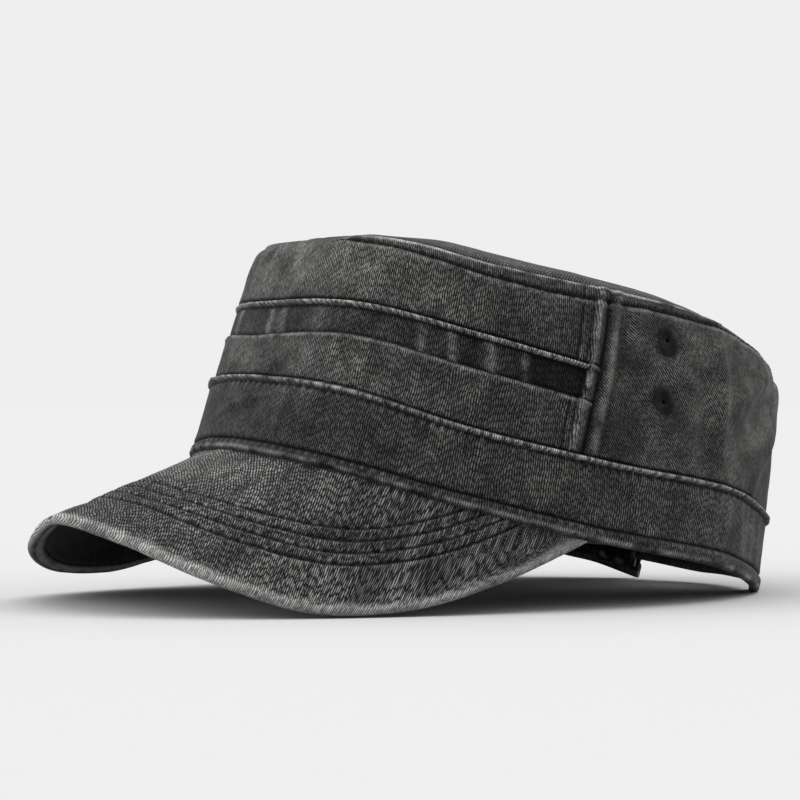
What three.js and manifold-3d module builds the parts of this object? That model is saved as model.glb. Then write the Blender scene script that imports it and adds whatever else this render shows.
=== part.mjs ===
// A patrol cap in washed cotton twill: a low crown with an oval top, an inset strip across the
// front, a folded band, a curved peak and a strap over an arched opening at the back.
// It rests on the left side of its peak and on the back of its hem, with its front raised.
//
// Millimetres. +Z is up, the front faces -Y and +X is the wearer's left.
// "Around" is an angle round the head in degrees: 0 at the front, 90 at the left, 180 at the back.
// "Height" is measured up the wall, in the cap's own upright frame, before it tilts to its rest.

import * as THREE from 'three';
import { mergeVertices } from 'three/addons/utils/BufferGeometryUtils.js';
import Module from 'manifold-3d';

const wasm = await Module();
wasm.setup();

// Head opening: from the widest line to the front, the back and each side, at the outer face
const OPENING_FRONT = 92;
const OPENING_BACK = 107;
const OPENING_SIDE = 88;

// How far the top edge stands in from the hem, and how much of a shoulder the last stretch adds
const FRONT_LEAN = 13;
const BACK_LEAN = -3;
const SIDE_LEAN = 6;
const FRONT_SHOULDER = 1.2;
const BACK_SHOULDER = 4;
const SIDE_SHOULDER = 5;
const SHOULDER_SHARPNESS = 6;

// Heights of the crown's parts
const CROWN_HEIGHT = 76;
const BAND_HEIGHT = 25;
const HEM_HEIGHT = 5;
const STRIP_FOOT_HEIGHT = 42;
const STRIP_WIDTH = 11;
const HEM_SWEEP = 12;
const TOP_DOME = 14;

// Cloth
const CLOTH = 1.6;
const BAND_RIDGE = 1.2;
const HEM_ROLL = 1;
const TOP_FOLD = 0.6;
const STRIP_RECESS = 0.7;
const GAP = 0.3;

// Side seams, as angles round the head at the hem and at the top edge
const SEAM_ANGLE_AT_HEM = 80;
const SEAM_ANGLE_AT_TOP = 88;

// Peak
const PEAK_LENGTH = 53;
const PEAK_SPREAD_ANGLE = 86;
const PEAK_RISE = 28;
const PEAK_UPPER_THICKNESS = 1.8;
const PEAK_UNDER_THICKNESS = 1.2;

// Arched opening and strap at the back
const ARCH_HALF_WIDTH = 34;
const ARCH_HEIGHT = 44;
const STRAP_WIDTH = 16;
const STRAP_LIFT = 3.5;
const STRAP_RIGHT_RISE = 4;
const STRAP_THICKNESS = 1.6;
const STRAP_OVERLAP = 17;
const RIGHT_HEM_LIFT = 5;

// Buckle, a flat metal slide on the strap's right end
const BUCKLE_HEIGHT = 20;
const BUCKLE_LENGTH = 14;
const BUCKLE_WIRE = 2;
const BUCKLE_THICKNESS = 1.5;
const BUCKLE_CLEARANCE = 0.6;

// Eyelets
const EYELET_RADIUS = 4.6;
const EYELET_HOLE = 1.9;
const EYELET_THICKNESS = 1;
const EYELET_ANGLE = 100;
const UPPER_EYELET_HEIGHT = 0.88 * CROWN_HEIGHT;
const LOWER_EYELET_HEIGHT = 0.625 * CROWN_HEIGHT;

// Rest
const REST_TILT = 8.8;
const REST_PRESS = 1;

// Levels round the head. hem_line is a share of HEM_SWEEP, and the others are heights above that
// line: hem_top of HEM_HEIGHT, band of BAND_HEIGHT, strip_foot of STRIP_FOOT_HEIGHT,
// strip of STRIP_WIDTH above its foot, and edge of CROWN_HEIGHT.
const LEVELS = [
  { around: 0, hem_line: 0.97, hem_top: 0.74, band: 0.96, strip_foot: 0.9, strip: 1.02, edge: 0.92 },
  { around: 30, hem_line: 0.73, hem_top: 0.74, band: 1.01, strip_foot: 1, strip: 0.95, edge: 0.96 },
  { around: 60, hem_line: 0.14, hem_top: 0.78, band: 0.96, strip_foot: 1, strip: 1.02, edge: 0.99 },
  { around: 90, hem_line: -0.28, hem_top: 0.88, band: 1, strip_foot: 1, strip: 1, edge: 1.02 },
  { around: 120, hem_line: -0.41, hem_top: 1.02, band: 1.04, strip_foot: 1, strip: 1, edge: 1.01 },
  { around: 150, hem_line: -0.81, hem_top: 1.06, band: 1, strip_foot: 1, strip: 1, edge: 0.9 },
  { around: 180, hem_line: -0.7, hem_top: 1, band: 0.92, strip_foot: 1, strip: 1, edge: 0.8 },
];

// The peak's outer edge, from its front (turn 0) to its tip at the hem (turn 90).
// across is a share of the tip's distance from the middle, reach of the whole reach from the tip
// to the front, rise of PEAK_RISE, and follow of the tip's own height.
// The peak is bent unevenly, so the wearer's right side has a rise of its own.
const PEAK_EDGE = [
  { turn: 0, across: 0, reach: 1, rise: 1, right_rise: 1, follow: 0 },
  { turn: 15, across: 0.388, reach: 0.956, rise: 0.81, right_rise: 0.62, follow: 0 },
  { turn: 30, across: 0.677, reach: 0.829, rise: 0.42, right_rise: 0.32, follow: 0 },
  { turn: 45, across: 0.844, reach: 0.643, rise: 0.09, right_rise: 0.26, follow: 0 },
  { turn: 60, across: 0.935, reach: 0.424, rise: 0.04, right_rise: 0.41, follow: 0.07 },
  { turn: 75, across: 0.985, reach: 0.203, rise: 0, right_rise: 0.25, follow: 0.48 },
  { turn: 90, across: 1.005, reach: 0, rise: 0, right_rise: 0, follow: 0.99 },
];

// Sections up each strip of wall: up is a share of its height, and proud a share of its fold
const PANEL_SECTIONS = [{ up: 0, proud: 0 }, { up: 0.5, proud: 0 }, { up: 1, proud: 0 }];
const TOP_SECTIONS = [
  { up: 0, proud: 0 },
  { up: 0.6, proud: 0 },
  { up: 0.74, proud: -0.2 },
  { up: 0.84, proud: 1 },
  { up: 0.94, proud: 1 },
  { up: 1, proud: 0.4 },
];
const REAR_SECTIONS = [
  { up: 0, proud: 0 },
  { up: 0.2, proud: 0 },
  { up: 0.35, proud: 0 },
  { up: 0.45, proud: 0 },
  { up: 0.52, proud: 0 },
  { up: 0.86, proud: 0 },
  { up: 0.92, proud: -0.2 },
  { up: 0.96, proud: 1 },
  { up: 1, proud: 0.4 },
];
const BAND_SECTIONS = [
  { up: 0, proud: 0.25 },
  { up: 0.78, proud: 0.45 },
  { up: 0.85, proud: 0.15 },
  { up: 0.91, proud: 1 },
  { up: 0.97, proud: 0.9 },
  { up: 1, proud: 0.3 },
];
const HEM_SECTIONS = [
  { up: 0, proud: 0.3 },
  { up: 0.2, proud: 0.9 },
  { up: 0.75, proud: 1 },
  { up: 1, proud: 0.5 },
];

const WASHED_TWILL = new THREE.MeshStandardMaterial({ color: 0x3a3a3b, roughness: 0.95 });
const DARK_TWILL = new THREE.MeshStandardMaterial({ color: 0x1f1f21, roughness: 0.95 });
const EYELET_THREAD = new THREE.MeshStandardMaterial({ color: 0x18181a, roughness: 0.8 });
const DARK_METAL = new THREE.MeshStandardMaterial({ color: 0x24221f, roughness: 0.45, metalness: 1 });

const UP = new THREE.Vector3(0, 0, 1);
const radians = (degrees) => THREE.MathUtils.degToRad(degrees);
const mix = THREE.MathUtils.lerp;

// Degrees round the head that half a gap takes up
const HALF_GAP_AROUND = THREE.MathUtils.radToDeg(GAP / 2 / OPENING_SIDE);

// A smooth value between the rows of a table with even steps, mirrored past its ends.
// An odd column changes sign on the other side of the first row.
function along(table, column, position, step, odd = false) {
  const last = table.length - 1;
  const row = (index) => {
    const inside = index < 0 ? -index : index > last ? 2 * last - index : index;
    return table[inside][column] * (odd && index < 0 ? -1 : 1);
  };
  const share = Math.min(Math.abs(position) / step, last);
  const index = Math.min(Math.floor(share), last - 1);
  const t = share - index;
  const [a, b, c, d] = [row(index - 1), row(index), row(index + 1), row(index + 2)];
  const smooth = b + 0.5 * t * (c - a + t * (2 * a - 5 * b + 4 * c - d + t * (3 * (b - c) + d - a)));
  return odd && position < 0 ? -smooth : smooth;
}

// An angle folded into -180 to 180
function folded(around) {
  return THREE.MathUtils.euclideanModulo(around + 180, 360) - 180;
}

function level(column, around) {
  return along(LEVELS, column, folded(around), 30);
}

// The hem sits higher on the wearer's right, between the strap and the peak
function rightLift(around) {
  const side = THREE.MathUtils.euclideanModulo(around, 360);
  return RIGHT_HEM_LIFT * THREE.MathUtils.smoothstep(side, 196, 216)
    * (1 - THREE.MathUtils.smoothstep(side, 236, 268));
}

const hemLine = (around) => HEM_SWEEP * level('hem_line', around) + rightLift(around);
const hemTop = (around) => hemLine(around) + HEM_HEIGHT * level('hem_top', around);
const bandTop = (around) => hemLine(around) + BAND_HEIGHT * level('band', around);
const stripFoot = (around) => hemLine(around) + STRIP_FOOT_HEIGHT * level('strip_foot', around);
const stripHead = (around) => stripFoot(around) + STRIP_WIDTH * level('strip', around);
const topEdge = (around) => HEM_SWEEP * level('hem_line', around) + CROWN_HEIGHT * level('edge', around);

// How far up the wall a height lies: 0 at the hem line and 1 at the top edge
function shareUp(around, height) {
  const foot = hemLine(around);
  return (height - foot) / (topEdge(around) - foot);
}

// The crown's outer face
function crownFace(around, height) {
  const up = shareUp(around, height);
  const shoulder = Math.pow(THREE.MathUtils.clamp(up, 0, 1), SHOULDER_SHARPNESS);
  const side = OPENING_SIDE - SIDE_LEAN * up - SIDE_SHOULDER * shoulder;
  const front = OPENING_FRONT - FRONT_LEAN * up - FRONT_SHOULDER * shoulder;
  const back = OPENING_BACK - BACK_LEAN * up - BACK_SHOULDER * shoulder;
  const angle = radians(around);
  const length = Math.cos(angle) > 0 ? front : back;
  return new THREE.Vector3(side * Math.sin(angle), -length * Math.cos(angle), height);
}

// The outward direction of a face given by a function of two values
function faceNormal(face, u, v, step = 0.2) {
  const alongU = face(u + step, v).sub(face(u - step, v));
  const alongV = face(u, v + step).sub(face(u, v - step));
  return alongU.cross(alongV).normalize();
}

// A point at a distance out of the crown's face, or into the cap where it is negative
function crownPoint(around, height, out) {
  const point = crownFace(around, height);
  return point.addScaledVector(faceNormal(crownFace, around, height), out);
}

// Where the back wall ends at the arch, on the left side
function archAngle(height) {
  const up = THREE.MathUtils.clamp((height - hemLine(180)) / ARCH_HEIGHT, 0, 1);
  const half = ARCH_HALF_WIDTH * Math.sqrt(1 - up * up);
  return 180 - THREE.MathUtils.radToDeg(Math.asin(half / OPENING_SIDE)) - HALF_GAP_AROUND;
}

// The lift that brings the back of the hem down to the surface, pressed a little flat
const restLift = (() => {
  const corner = archAngle(hemLine(180));
  let lowest = Infinity;
  for (let around = 110; around <= corner; around += 1) {
    lowest = Math.min(lowest, tilted(crownFace(around, hemLine(around))).z);
  }
  return -lowest - REST_PRESS;
})();

function tilted(point) {
  return point.applyAxisAngle(new THREE.Vector3(1, 0, 0), -radians(REST_TILT));
}

function atRest(point) {
  const rested = tilted(point.clone());
  rested.z = Math.max(rested.z + restLift, 0);
  return rested;
}

// A closed sheet from a function that gives its outer and inner point at two shares
function sheet(columns, shares, pointAt) {
  const rows = shares.length - 1;
  const positions = [];
  const index = [];
  const stride = rows + 1;
  const layer = (columns + 1) * stride;
  for (const side of ['outer', 'inner']) {
    for (let i = 0; i <= columns; i += 1) {
      for (let j = 0; j <= rows; j += 1) {
        positions.push(...atRest(pointAt(i / columns, shares[j], side)).toArray());
      }
    }
  }
  const quad = (a, b, c, d) => index.push(a, b, c, a, c, d);
  const at = (i, j) => i * stride + j;
  for (let i = 0; i < columns; i += 1) {
    for (let j = 0; j < rows; j += 1) {
      quad(at(i, j), at(i + 1, j), at(i + 1, j + 1), at(i, j + 1));
      quad(layer + at(i, j), layer + at(i, j + 1), layer + at(i + 1, j + 1), layer + at(i + 1, j));
    }
    quad(at(i + 1, 0), at(i, 0), layer + at(i, 0), layer + at(i + 1, 0));
    quad(at(i, rows), at(i + 1, rows), layer + at(i + 1, rows), layer + at(i, rows));
  }
  for (let j = 0; j < rows; j += 1) {
    quad(at(0, j), at(0, j + 1), layer + at(0, j + 1), layer + at(0, j));
    quad(at(columns, j + 1), at(columns, j), layer + at(columns, j), layer + at(columns, j + 1));
  }
  const geometry = new THREE.BufferGeometry();
  geometry.setAttribute('position', new THREE.Float32BufferAttribute(positions, 3));
  geometry.setIndex(index);
  return geometry;
}

// The height and angle of a point of wall between two levels and between two slanting ends
function wallPlace({ from, to, foot, head }, u, v) {
  let around = mix(from(0), to(0), u);
  let height = mix(foot(around), head(around), v);
  for (let pass = 0; pass < 4; pass += 1) {
    around = mix(from(height), to(height), u);
    height = mix(foot(around), head(around), v);
  }
  return [around, height];
}

// A strip of the crown's wall, with sections that say how its outer face stands proud
function wall({ from, to, foot, head, sections, fold = 0, inset = 0, thickness = CLOTH, columns }) {
  const proud = new Map(sections.map((section) => [section.up, section.proud * fold]));
  return sheet(columns, sections.map((section) => section.up), (u, v, side) => {
    const [around, height] = wallPlace({ from, to, foot, head }, u, v);
    const out = side === 'outer' ? proud.get(v) - inset : -inset - thickness;
    return crownPoint(around, height, out);
  });
}

function seamAngle(height) {
  const up = THREE.MathUtils.clamp(shareUp(SEAM_ANGLE_AT_HEM, height), 0, 1);
  return mix(SEAM_ANGLE_AT_HEM, SEAM_ANGLE_AT_TOP, up);
}

const lower = (line) => (around) => line(around) + GAP / 2;
const upper = (line) => (around) => line(around) - GAP / 2;
const seamFront = (height) => seamAngle(height) - HALF_GAP_AROUND;
const seamBack = (height) => seamAngle(height) + HALF_GAP_AROUND;

function frontPanelUpper() {
  return wall({
    from: (height) => -seamFront(height), to: seamFront,
    foot: lower(stripHead), head: upper(topEdge), sections: TOP_SECTIONS, fold: TOP_FOLD, columns: 30,
  });
}

function frontStrip() {
  return wall({
    from: (height) => -seamFront(height), to: seamFront,
    foot: lower(stripFoot), head: upper(stripHead), sections: PANEL_SECTIONS, inset: STRIP_RECESS, columns: 30,
  });
}

function frontPanelLower() {
  return wall({
    from: (height) => -seamFront(height), to: seamFront,
    foot: lower(bandTop), head: upper(stripFoot), sections: PANEL_SECTIONS, columns: 30,
  });
}

function rearPanelLeft() {
  return wall({
    from: seamBack, to: archAngle,
    foot: lower(bandTop), head: upper(topEdge), sections: REAR_SECTIONS, fold: TOP_FOLD, columns: 18,
  });
}

function rearPanelRight() {
  return wall({
    from: (height) => 360 - archAngle(height), to: (height) => 360 - seamBack(height),
    foot: lower(bandTop), head: upper(topEdge), sections: REAR_SECTIONS, fold: TOP_FOLD, columns: 18,
  });
}

function band() {
  return wall({
    from: (height) => -archAngle(height), to: archAngle,
    foot: lower(hemTop), head: upper(bandTop), sections: BAND_SECTIONS, fold: BAND_RIDGE, columns: 60,
  });
}

function hem() {
  return wall({
    from: (height) => -archAngle(height), to: archAngle,
    foot: hemLine, head: upper(hemTop), sections: HEM_SECTIONS, fold: HEM_ROLL, columns: 60,
  });
}

// The oval top: rings of the top edge drawn in to the middle, over a low dome
function crownTop() {
  const around = 56;
  const rings = [1, 0.92, 0.78, 0.58, 0.32];
  const edge = Array.from({ length: around }, (_, i) => {
    const angle = (i / around) * 360;
    return crownFace(angle, topEdge(angle));
  });
  const middle = edge.reduce((sum, point) => sum.add(point), new THREE.Vector3()).divideScalar(around);
  const positions = [];
  const index = [];
  for (const base of [GAP / 2 + CLOTH, GAP / 2]) {
    for (const ring of rings) {
      for (const point of edge) {
        const placed = middle.clone().lerp(point, ring);
        placed.addScaledVector(UP, base + TOP_DOME * (1 - ring * ring));
        positions.push(...atRest(placed).toArray());
      }
    }
    positions.push(...atRest(middle.clone().addScaledVector(UP, base + TOP_DOME)).toArray());
  }
  const layer = around * rings.length + 1;
  for (let i = 0; i < around; i += 1) {
    const next = (i + 1) % around;
    for (let k = 0; k < rings.length - 1; k += 1) {
      const [a, b] = [k * around + i, k * around + next];
      const [c, d] = [a + around, b + around];
      index.push(a, b, d, a, d, c, layer + a, layer + d, layer + b, layer + a, layer + c, layer + d);
    }
    const last = (rings.length - 1) * around;
    index.push(last + i, last + next, layer - 1, layer + last + next, layer + last + i, 2 * layer - 1);
    index.push(i, layer + i, layer + next, i, layer + next, next);
  }
  const geometry = new THREE.BufferGeometry();
  geometry.setAttribute('position', new THREE.Float32BufferAttribute(positions, 3));
  geometry.setIndex(index);
  return geometry;
}

// The peak's upper face: straight from the hem line out to the edge
function peakFace(turn, out) {
  const around = (turn / 90) * PEAK_SPREAD_ANGLE;
  const seam = crownPoint(around, hemLine(around) - GAP, -CLOTH / 2);
  const tip = crownFace(PEAK_SPREAD_ANGLE, hemLine(PEAK_SPREAD_ANGLE));
  const front = crownFace(0, hemLine(0));
  const reach = tip.y - front.y + PEAK_LENGTH;
  const share = (column, odd) => along(PEAK_EDGE, column, turn, 15, odd);
  // The edge's heights are given above the surface that the cap rests on
  const restTip = tilted(tip.clone()).z + restLift;
  const rise = share(turn < 0 ? 'right_rise' : 'rise');
  const floorHeight = rise * PEAK_RISE + share('follow') * restTip;
  const edge = tilted(new THREE.Vector3(tip.x * share('across', true), tip.y - reach * share('reach'), 0));
  edge.z = floorHeight - restLift;
  edge.applyAxisAngle(new THREE.Vector3(1, 0, 0), radians(REST_TILT));
  return seam.lerp(edge, out);
}

// A layer of the peak between two depths below its upper face
function peakLayer(top, bottom) {
  const limit = 88;
  const normal = (turn, out) => {
    const inside = Math.min(Math.abs(turn), 84) * Math.sign(turn);
    const step = 0.5;
    const sideways = peakFace(inside + step, out).sub(peakFace(inside - step, out));
    const outward = peakFace(inside, 1).sub(peakFace(inside, 0));
    return sideways.cross(outward).normalize().negate();
  };
  const steps = [0, 0.15, 0.4, 0.7, 0.88, 1];
  return sheet(46, steps, (u, v, side) => {
    const turn = mix(limit, -limit, u);
    const depth = side === 'outer' ? top : bottom;
    return peakFace(turn, v).addScaledVector(normal(turn, v), -depth);
  });
}

// How far the strap reaches each way from the middle of the back, in degrees
const STRAP_REACH = THREE.MathUtils.radToDeg((ARCH_HALF_WIDTH + STRAP_OVERLAP) / OPENING_BACK);

function strapFoot(around) {
  const line = HEM_SWEEP * level('hem_line', around);
  return line + STRAP_LIFT + STRAP_RIGHT_RISE * THREE.MathUtils.smoothstep(around, 180, 180 + STRAP_REACH);
}

// The strap lies against the inside of the wall at both ends
function backStrap() {
  return wall({
    from: () => 180 - STRAP_REACH, to: () => 180 + STRAP_REACH,
    foot: strapFoot, head: (around) => strapFoot(around) + STRAP_WIDTH, sections: PANEL_SECTIONS,
    inset: CLOTH + GAP, thickness: STRAP_THICKNESS, columns: 20,
  });
}

// A frame of axes on the crown's face, with its third axis pointing out of the cap
function faceFrame(around, height, out) {
  const origin = atRest(crownPoint(around, height, out));
  const normal = tilted(faceNormal(crownFace, around, height));
  const up = tilted(crownFace(around, height + 1).sub(crownFace(around, height - 1))).normalize();
  const side = new THREE.Vector3().crossVectors(up, normal).normalize();
  return new THREE.Matrix4().makeBasis(side, new THREE.Vector3().crossVectors(normal, side), normal)
    .setPosition(origin);
}

// A worked ring of thread, lying on the panel round its hole
function eyeletRing() {
  const profile = [
    new THREE.Vector2(EYELET_HOLE, 0),
    new THREE.Vector2(EYELET_RADIUS, 0),
    new THREE.Vector2(EYELET_RADIUS - 0.4, EYELET_THICKNESS * 0.7),
    new THREE.Vector2((EYELET_RADIUS + EYELET_HOLE) / 2, EYELET_THICKNESS),
    new THREE.Vector2(EYELET_HOLE + 0.3, EYELET_THICKNESS * 0.7),
    new THREE.Vector2(EYELET_HOLE, 0),
  ];
  return new THREE.LatheGeometry(profile, 16).rotateX(Math.PI / 2);
}

function solidOf(geometry) {
  const bare = new THREE.BufferGeometry();
  bare.setAttribute('position', geometry.getAttribute('position').clone());
  if (geometry.index) bare.setIndex(geometry.index.clone());
  const merged = mergeVertices(bare, 1e-4);
  return new wasm.Manifold(new wasm.Mesh({
    numProp: 3,
    vertProperties: new Float32Array(merged.getAttribute('position').array),
    triVerts: new Uint32Array(merged.index.array),
  }));
}

function geometryOf(solid) {
  const { vertProperties, triVerts } = solid.getMesh();
  const geometry = new THREE.BufferGeometry();
  geometry.setAttribute('position', new THREE.BufferAttribute(vertProperties, 3));
  geometry.setIndex(new THREE.BufferAttribute(triVerts, 1));
  return geometry;
}

// A flat slide with two windows side by side
function buckle() {
  const windowLength = (BUCKLE_LENGTH - 3 * BUCKLE_WIRE) / 2;
  const windowHeight = BUCKLE_HEIGHT - 2 * BUCKLE_WIRE;
  let solid = solidOf(new THREE.BoxGeometry(BUCKLE_LENGTH, BUCKLE_HEIGHT, BUCKLE_THICKNESS));
  for (const side of [-1, 1]) {
    const window = new THREE.BoxGeometry(windowLength, windowHeight, 3 * BUCKLE_THICKNESS);
    solid = solid.subtract(solidOf(window.translate(side * (windowLength + BUCKLE_WIRE) / 2, 0, 0)));
  }
  return geometryOf(solid).translate(0, 0, BUCKLE_THICKNESS / 2);
}

// The eyelets' places on one side: 1 is the wearer's left and -1 the right
function eyeletFrames(side) {
  return [UPPER_EYELET_HEIGHT, LOWER_EYELET_HEIGHT].map((height) => {
    const around = side * EYELET_ANGLE;
    const line = HEM_SWEEP * level('hem_line', around);
    return faceFrame(around, line + height, 0);
  });
}

// A rear panel with a hole under each eyelet
function pierced(geometry, side) {
  let solid = solidOf(geometry);
  for (const frame of eyeletFrames(side)) {
    const drill = new THREE.CylinderGeometry(EYELET_HOLE, EYELET_HOLE, 6 * CLOTH, 16);
    solid = solid.subtract(solidOf(drill.rotateX(Math.PI / 2).applyMatrix4(frame)));
  }
  return geometryOf(solid);
}

const cap = new THREE.Group();

function add(name, geometry, material, frame) {
  geometry.computeVertexNormals();
  const mesh = new THREE.Mesh(geometry, material);
  mesh.name = name;
  if (frame) frame.decompose(mesh.position, mesh.quaternion, mesh.scale);
  cap.add(mesh);
}

add('crown_top', crownTop(), WASHED_TWILL);
add('front_panel_upper', frontPanelUpper(), WASHED_TWILL);
add('front_strip', frontStrip(), DARK_TWILL);
add('front_panel_lower', frontPanelLower(), WASHED_TWILL);
add('rear_panel_left', pierced(rearPanelLeft(), 1), WASHED_TWILL);
add('rear_panel_right', pierced(rearPanelRight(), -1), WASHED_TWILL);
add('band', band(), WASHED_TWILL);
add('hem', hem(), WASHED_TWILL);
add('peak_upper', peakLayer(0, PEAK_UPPER_THICKNESS), WASHED_TWILL);
add(
  'peak_underside',
  peakLayer(PEAK_UPPER_THICKNESS + GAP, PEAK_UPPER_THICKNESS + GAP + PEAK_UNDER_THICKNESS),
  DARK_TWILL,
);
add('back_strap', backStrap(), WASHED_TWILL);

// The slide hangs on the strap's right end, half past it
const strapEnd = 180 + STRAP_REACH;
const strapMiddle = strapFoot(strapEnd) + STRAP_WIDTH / 2;
const slideDepth = CLOTH + GAP + STRAP_THICKNESS + BUCKLE_CLEARANCE + BUCKLE_THICKNESS;
add('strap_buckle', buckle(), DARK_METAL, faceFrame(strapEnd, strapMiddle, -slideDepth));

for (const [label, side] of [['left', 1], ['right', -1]]) {
  const [upperFrame, lowerFrame] = eyeletFrames(side);
  const seat = new THREE.Matrix4().makeTranslation(0, 0, GAP);
  add(`eyelet_${label}_upper`, eyeletRing(), EYELET_THREAD, upperFrame.multiply(seat));
  add(`eyelet_${label}_lower`, eyeletRing(), EYELET_THREAD, lowerFrame.multiply(seat));
}

// The origin is under the middle of the cap, on the surface that it rests on
const box = new THREE.Box3().setFromObject(cap);
const middle = box.getCenter(new THREE.Vector3());
cap.position.set(-middle.x, -middle.y, -box.min.z);

export default cap;
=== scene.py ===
"""A patrol cap in washed cotton twill, dressed for a picture in a plain studio.

The cloth is made in the cap's own upright frame, in millimetres, and then set down at its rest.
"Around" is an angle round the head in degrees: 0 at the front, 90 at the wearer's left.
"Above" is a distance up the wall from the hem line.
"""

import math

import bpy
import numpy as np
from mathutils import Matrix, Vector


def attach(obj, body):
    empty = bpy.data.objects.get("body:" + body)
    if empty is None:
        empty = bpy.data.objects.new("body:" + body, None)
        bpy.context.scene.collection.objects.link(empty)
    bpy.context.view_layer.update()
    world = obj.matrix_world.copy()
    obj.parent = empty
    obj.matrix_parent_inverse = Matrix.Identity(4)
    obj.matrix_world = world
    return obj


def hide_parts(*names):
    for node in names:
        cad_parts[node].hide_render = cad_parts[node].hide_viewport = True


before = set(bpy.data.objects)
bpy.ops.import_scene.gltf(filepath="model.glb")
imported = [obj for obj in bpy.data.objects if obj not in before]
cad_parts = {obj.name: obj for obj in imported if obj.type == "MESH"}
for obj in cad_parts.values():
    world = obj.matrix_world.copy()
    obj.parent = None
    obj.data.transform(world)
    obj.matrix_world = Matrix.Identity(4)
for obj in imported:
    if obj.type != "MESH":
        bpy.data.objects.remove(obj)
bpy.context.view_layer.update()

# Sizes of the solids, in millimetres
OPENING_FRONT = 92
OPENING_BACK = 107
OPENING_SIDE = 88
FRONT_LEAN = 13
BACK_LEAN = -3
SIDE_LEAN = 6
FRONT_SHOULDER = 1.2
BACK_SHOULDER = 4
SIDE_SHOULDER = 5
SHOULDER_SHARPNESS = 6
CROWN_HEIGHT = 76
BAND_HEIGHT = 25
HEM_HEIGHT = 5
STRIP_FOOT_HEIGHT = 42
STRIP_WIDTH = 11
HEM_SWEEP = 12
TOP_DOME = 14
CLOTH = 1.6
SEAM_ANGLE_AT_HEM = 80
SEAM_ANGLE_AT_TOP = 88
PEAK_LENGTH = 53
PEAK_SPREAD_ANGLE = 86
PEAK_RISE = 28
PEAK_THICKNESS = 3.3
ARCH_HALF_WIDTH = 34
ARCH_HEIGHT = 44
STRAP_WIDTH = 16
STRAP_LIFT = 3.5
STRAP_RIGHT_RISE = 4
STRAP_OVERLAP = 17
STRAP_INSET = 1.9
RIGHT_HEM_LIFT = 5
EYELET_RADIUS = 4.6
EYELET_ANGLE = 100
UPPER_EYELET_HEIGHT = 0.88 * CROWN_HEIGHT
LOWER_EYELET_HEIGHT = 0.625 * CROWN_HEIGHT
REST_TILT = 8.8
REST_PRESS = 1
MIDDLE_SHIFT = 14.83

# Levels round the head, a row every 30 degrees from the front to the back
LEVELS = {
    "hem_line": (0.97, 0.73, 0.14, -0.28, -0.41, -0.81, -0.7),
    "hem_top": (0.74, 0.74, 0.78, 0.88, 1.02, 1.06, 1),
    "band": (0.96, 1.01, 0.96, 1, 1.04, 1, 0.92),
    "strip_foot": (0.9, 1, 1, 1, 1, 1, 1),
    "strip": (1.02, 0.95, 1.02, 1, 1, 1, 1),
    "edge": (0.92, 0.96, 0.99, 1.02, 1.01, 0.9, 0.8),
}

# The peak's outer edge, a value every 15 degrees of turn from its front to its tip
PEAK_EDGE = {
    "across": (0, 0.388, 0.677, 0.844, 0.935, 0.985, 1.005),
    "reach": (1, 0.956, 0.829, 0.643, 0.424, 0.203, 0),
    "rise": (1, 0.81, 0.42, 0.09, 0.04, 0, 0),
    "right_rise": (1, 0.62, 0.32, 0.26, 0.41, 0.25, 0),
    "follow": (0, 0, 0, 0, 0.07, 0.48, 0.99),
}

# Millimetres of wall for each degree round the head
ARC = 1.55

# Cloth detail, in millimetres
BEAD = 1.45
GROOVE = 0.42
EDGE_STITCH = 4
SEAM_FOLD = 4.6
SEAM_STITCH_AT_TOP = 10.8
SEAM_STITCH_AT_HEM = 5.6
SEAM_BACK_RIDGE = 3.0
PEAK_STITCH_ROWS = (17.5, 22, 26.6, 31.3)
PEAK_BINDING = 3.6
PEAK_NOSE = 3.2
PEAK_NOSE_LIFT = 1.2
WARP_PITCH = 0.62
FLOAT_LENGTH = 1.25
HALF_GAP = 0.15
LAP_BEHIND_JOINT = 0.7
TUCK_BEHIND_PEAK = 1.4
EYELET_HOLE = 2.9
STRAP_STITCH = 2.2

# How far the strap reaches to each side of the back, in degrees
STRAP_REACH = math.degrees((ARCH_HALF_WIDTH + STRAP_OVERLAP) / OPENING_BACK)

# Cells of the noise before it repeats
NOISE_CELLS = 128

# The turned top edge, a value every 15 degrees from the front: how far its crest stands above
# the solid's edge, and how far below the crest its stitches run
TOP_FOLD = {
    "crest": (-0.5, 0.1, 0.9, 1.1, 0.2, 0.2, 1.4, 1.0, 0.3, 0, 0, 0, 0),
    "stitch": (0.9, 1.2, 2.2, 3.2, 3.8, 4.3, 3.8, 3.0, 1.0, 0.9, 0.9, 0.9, 0.9),
}

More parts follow.
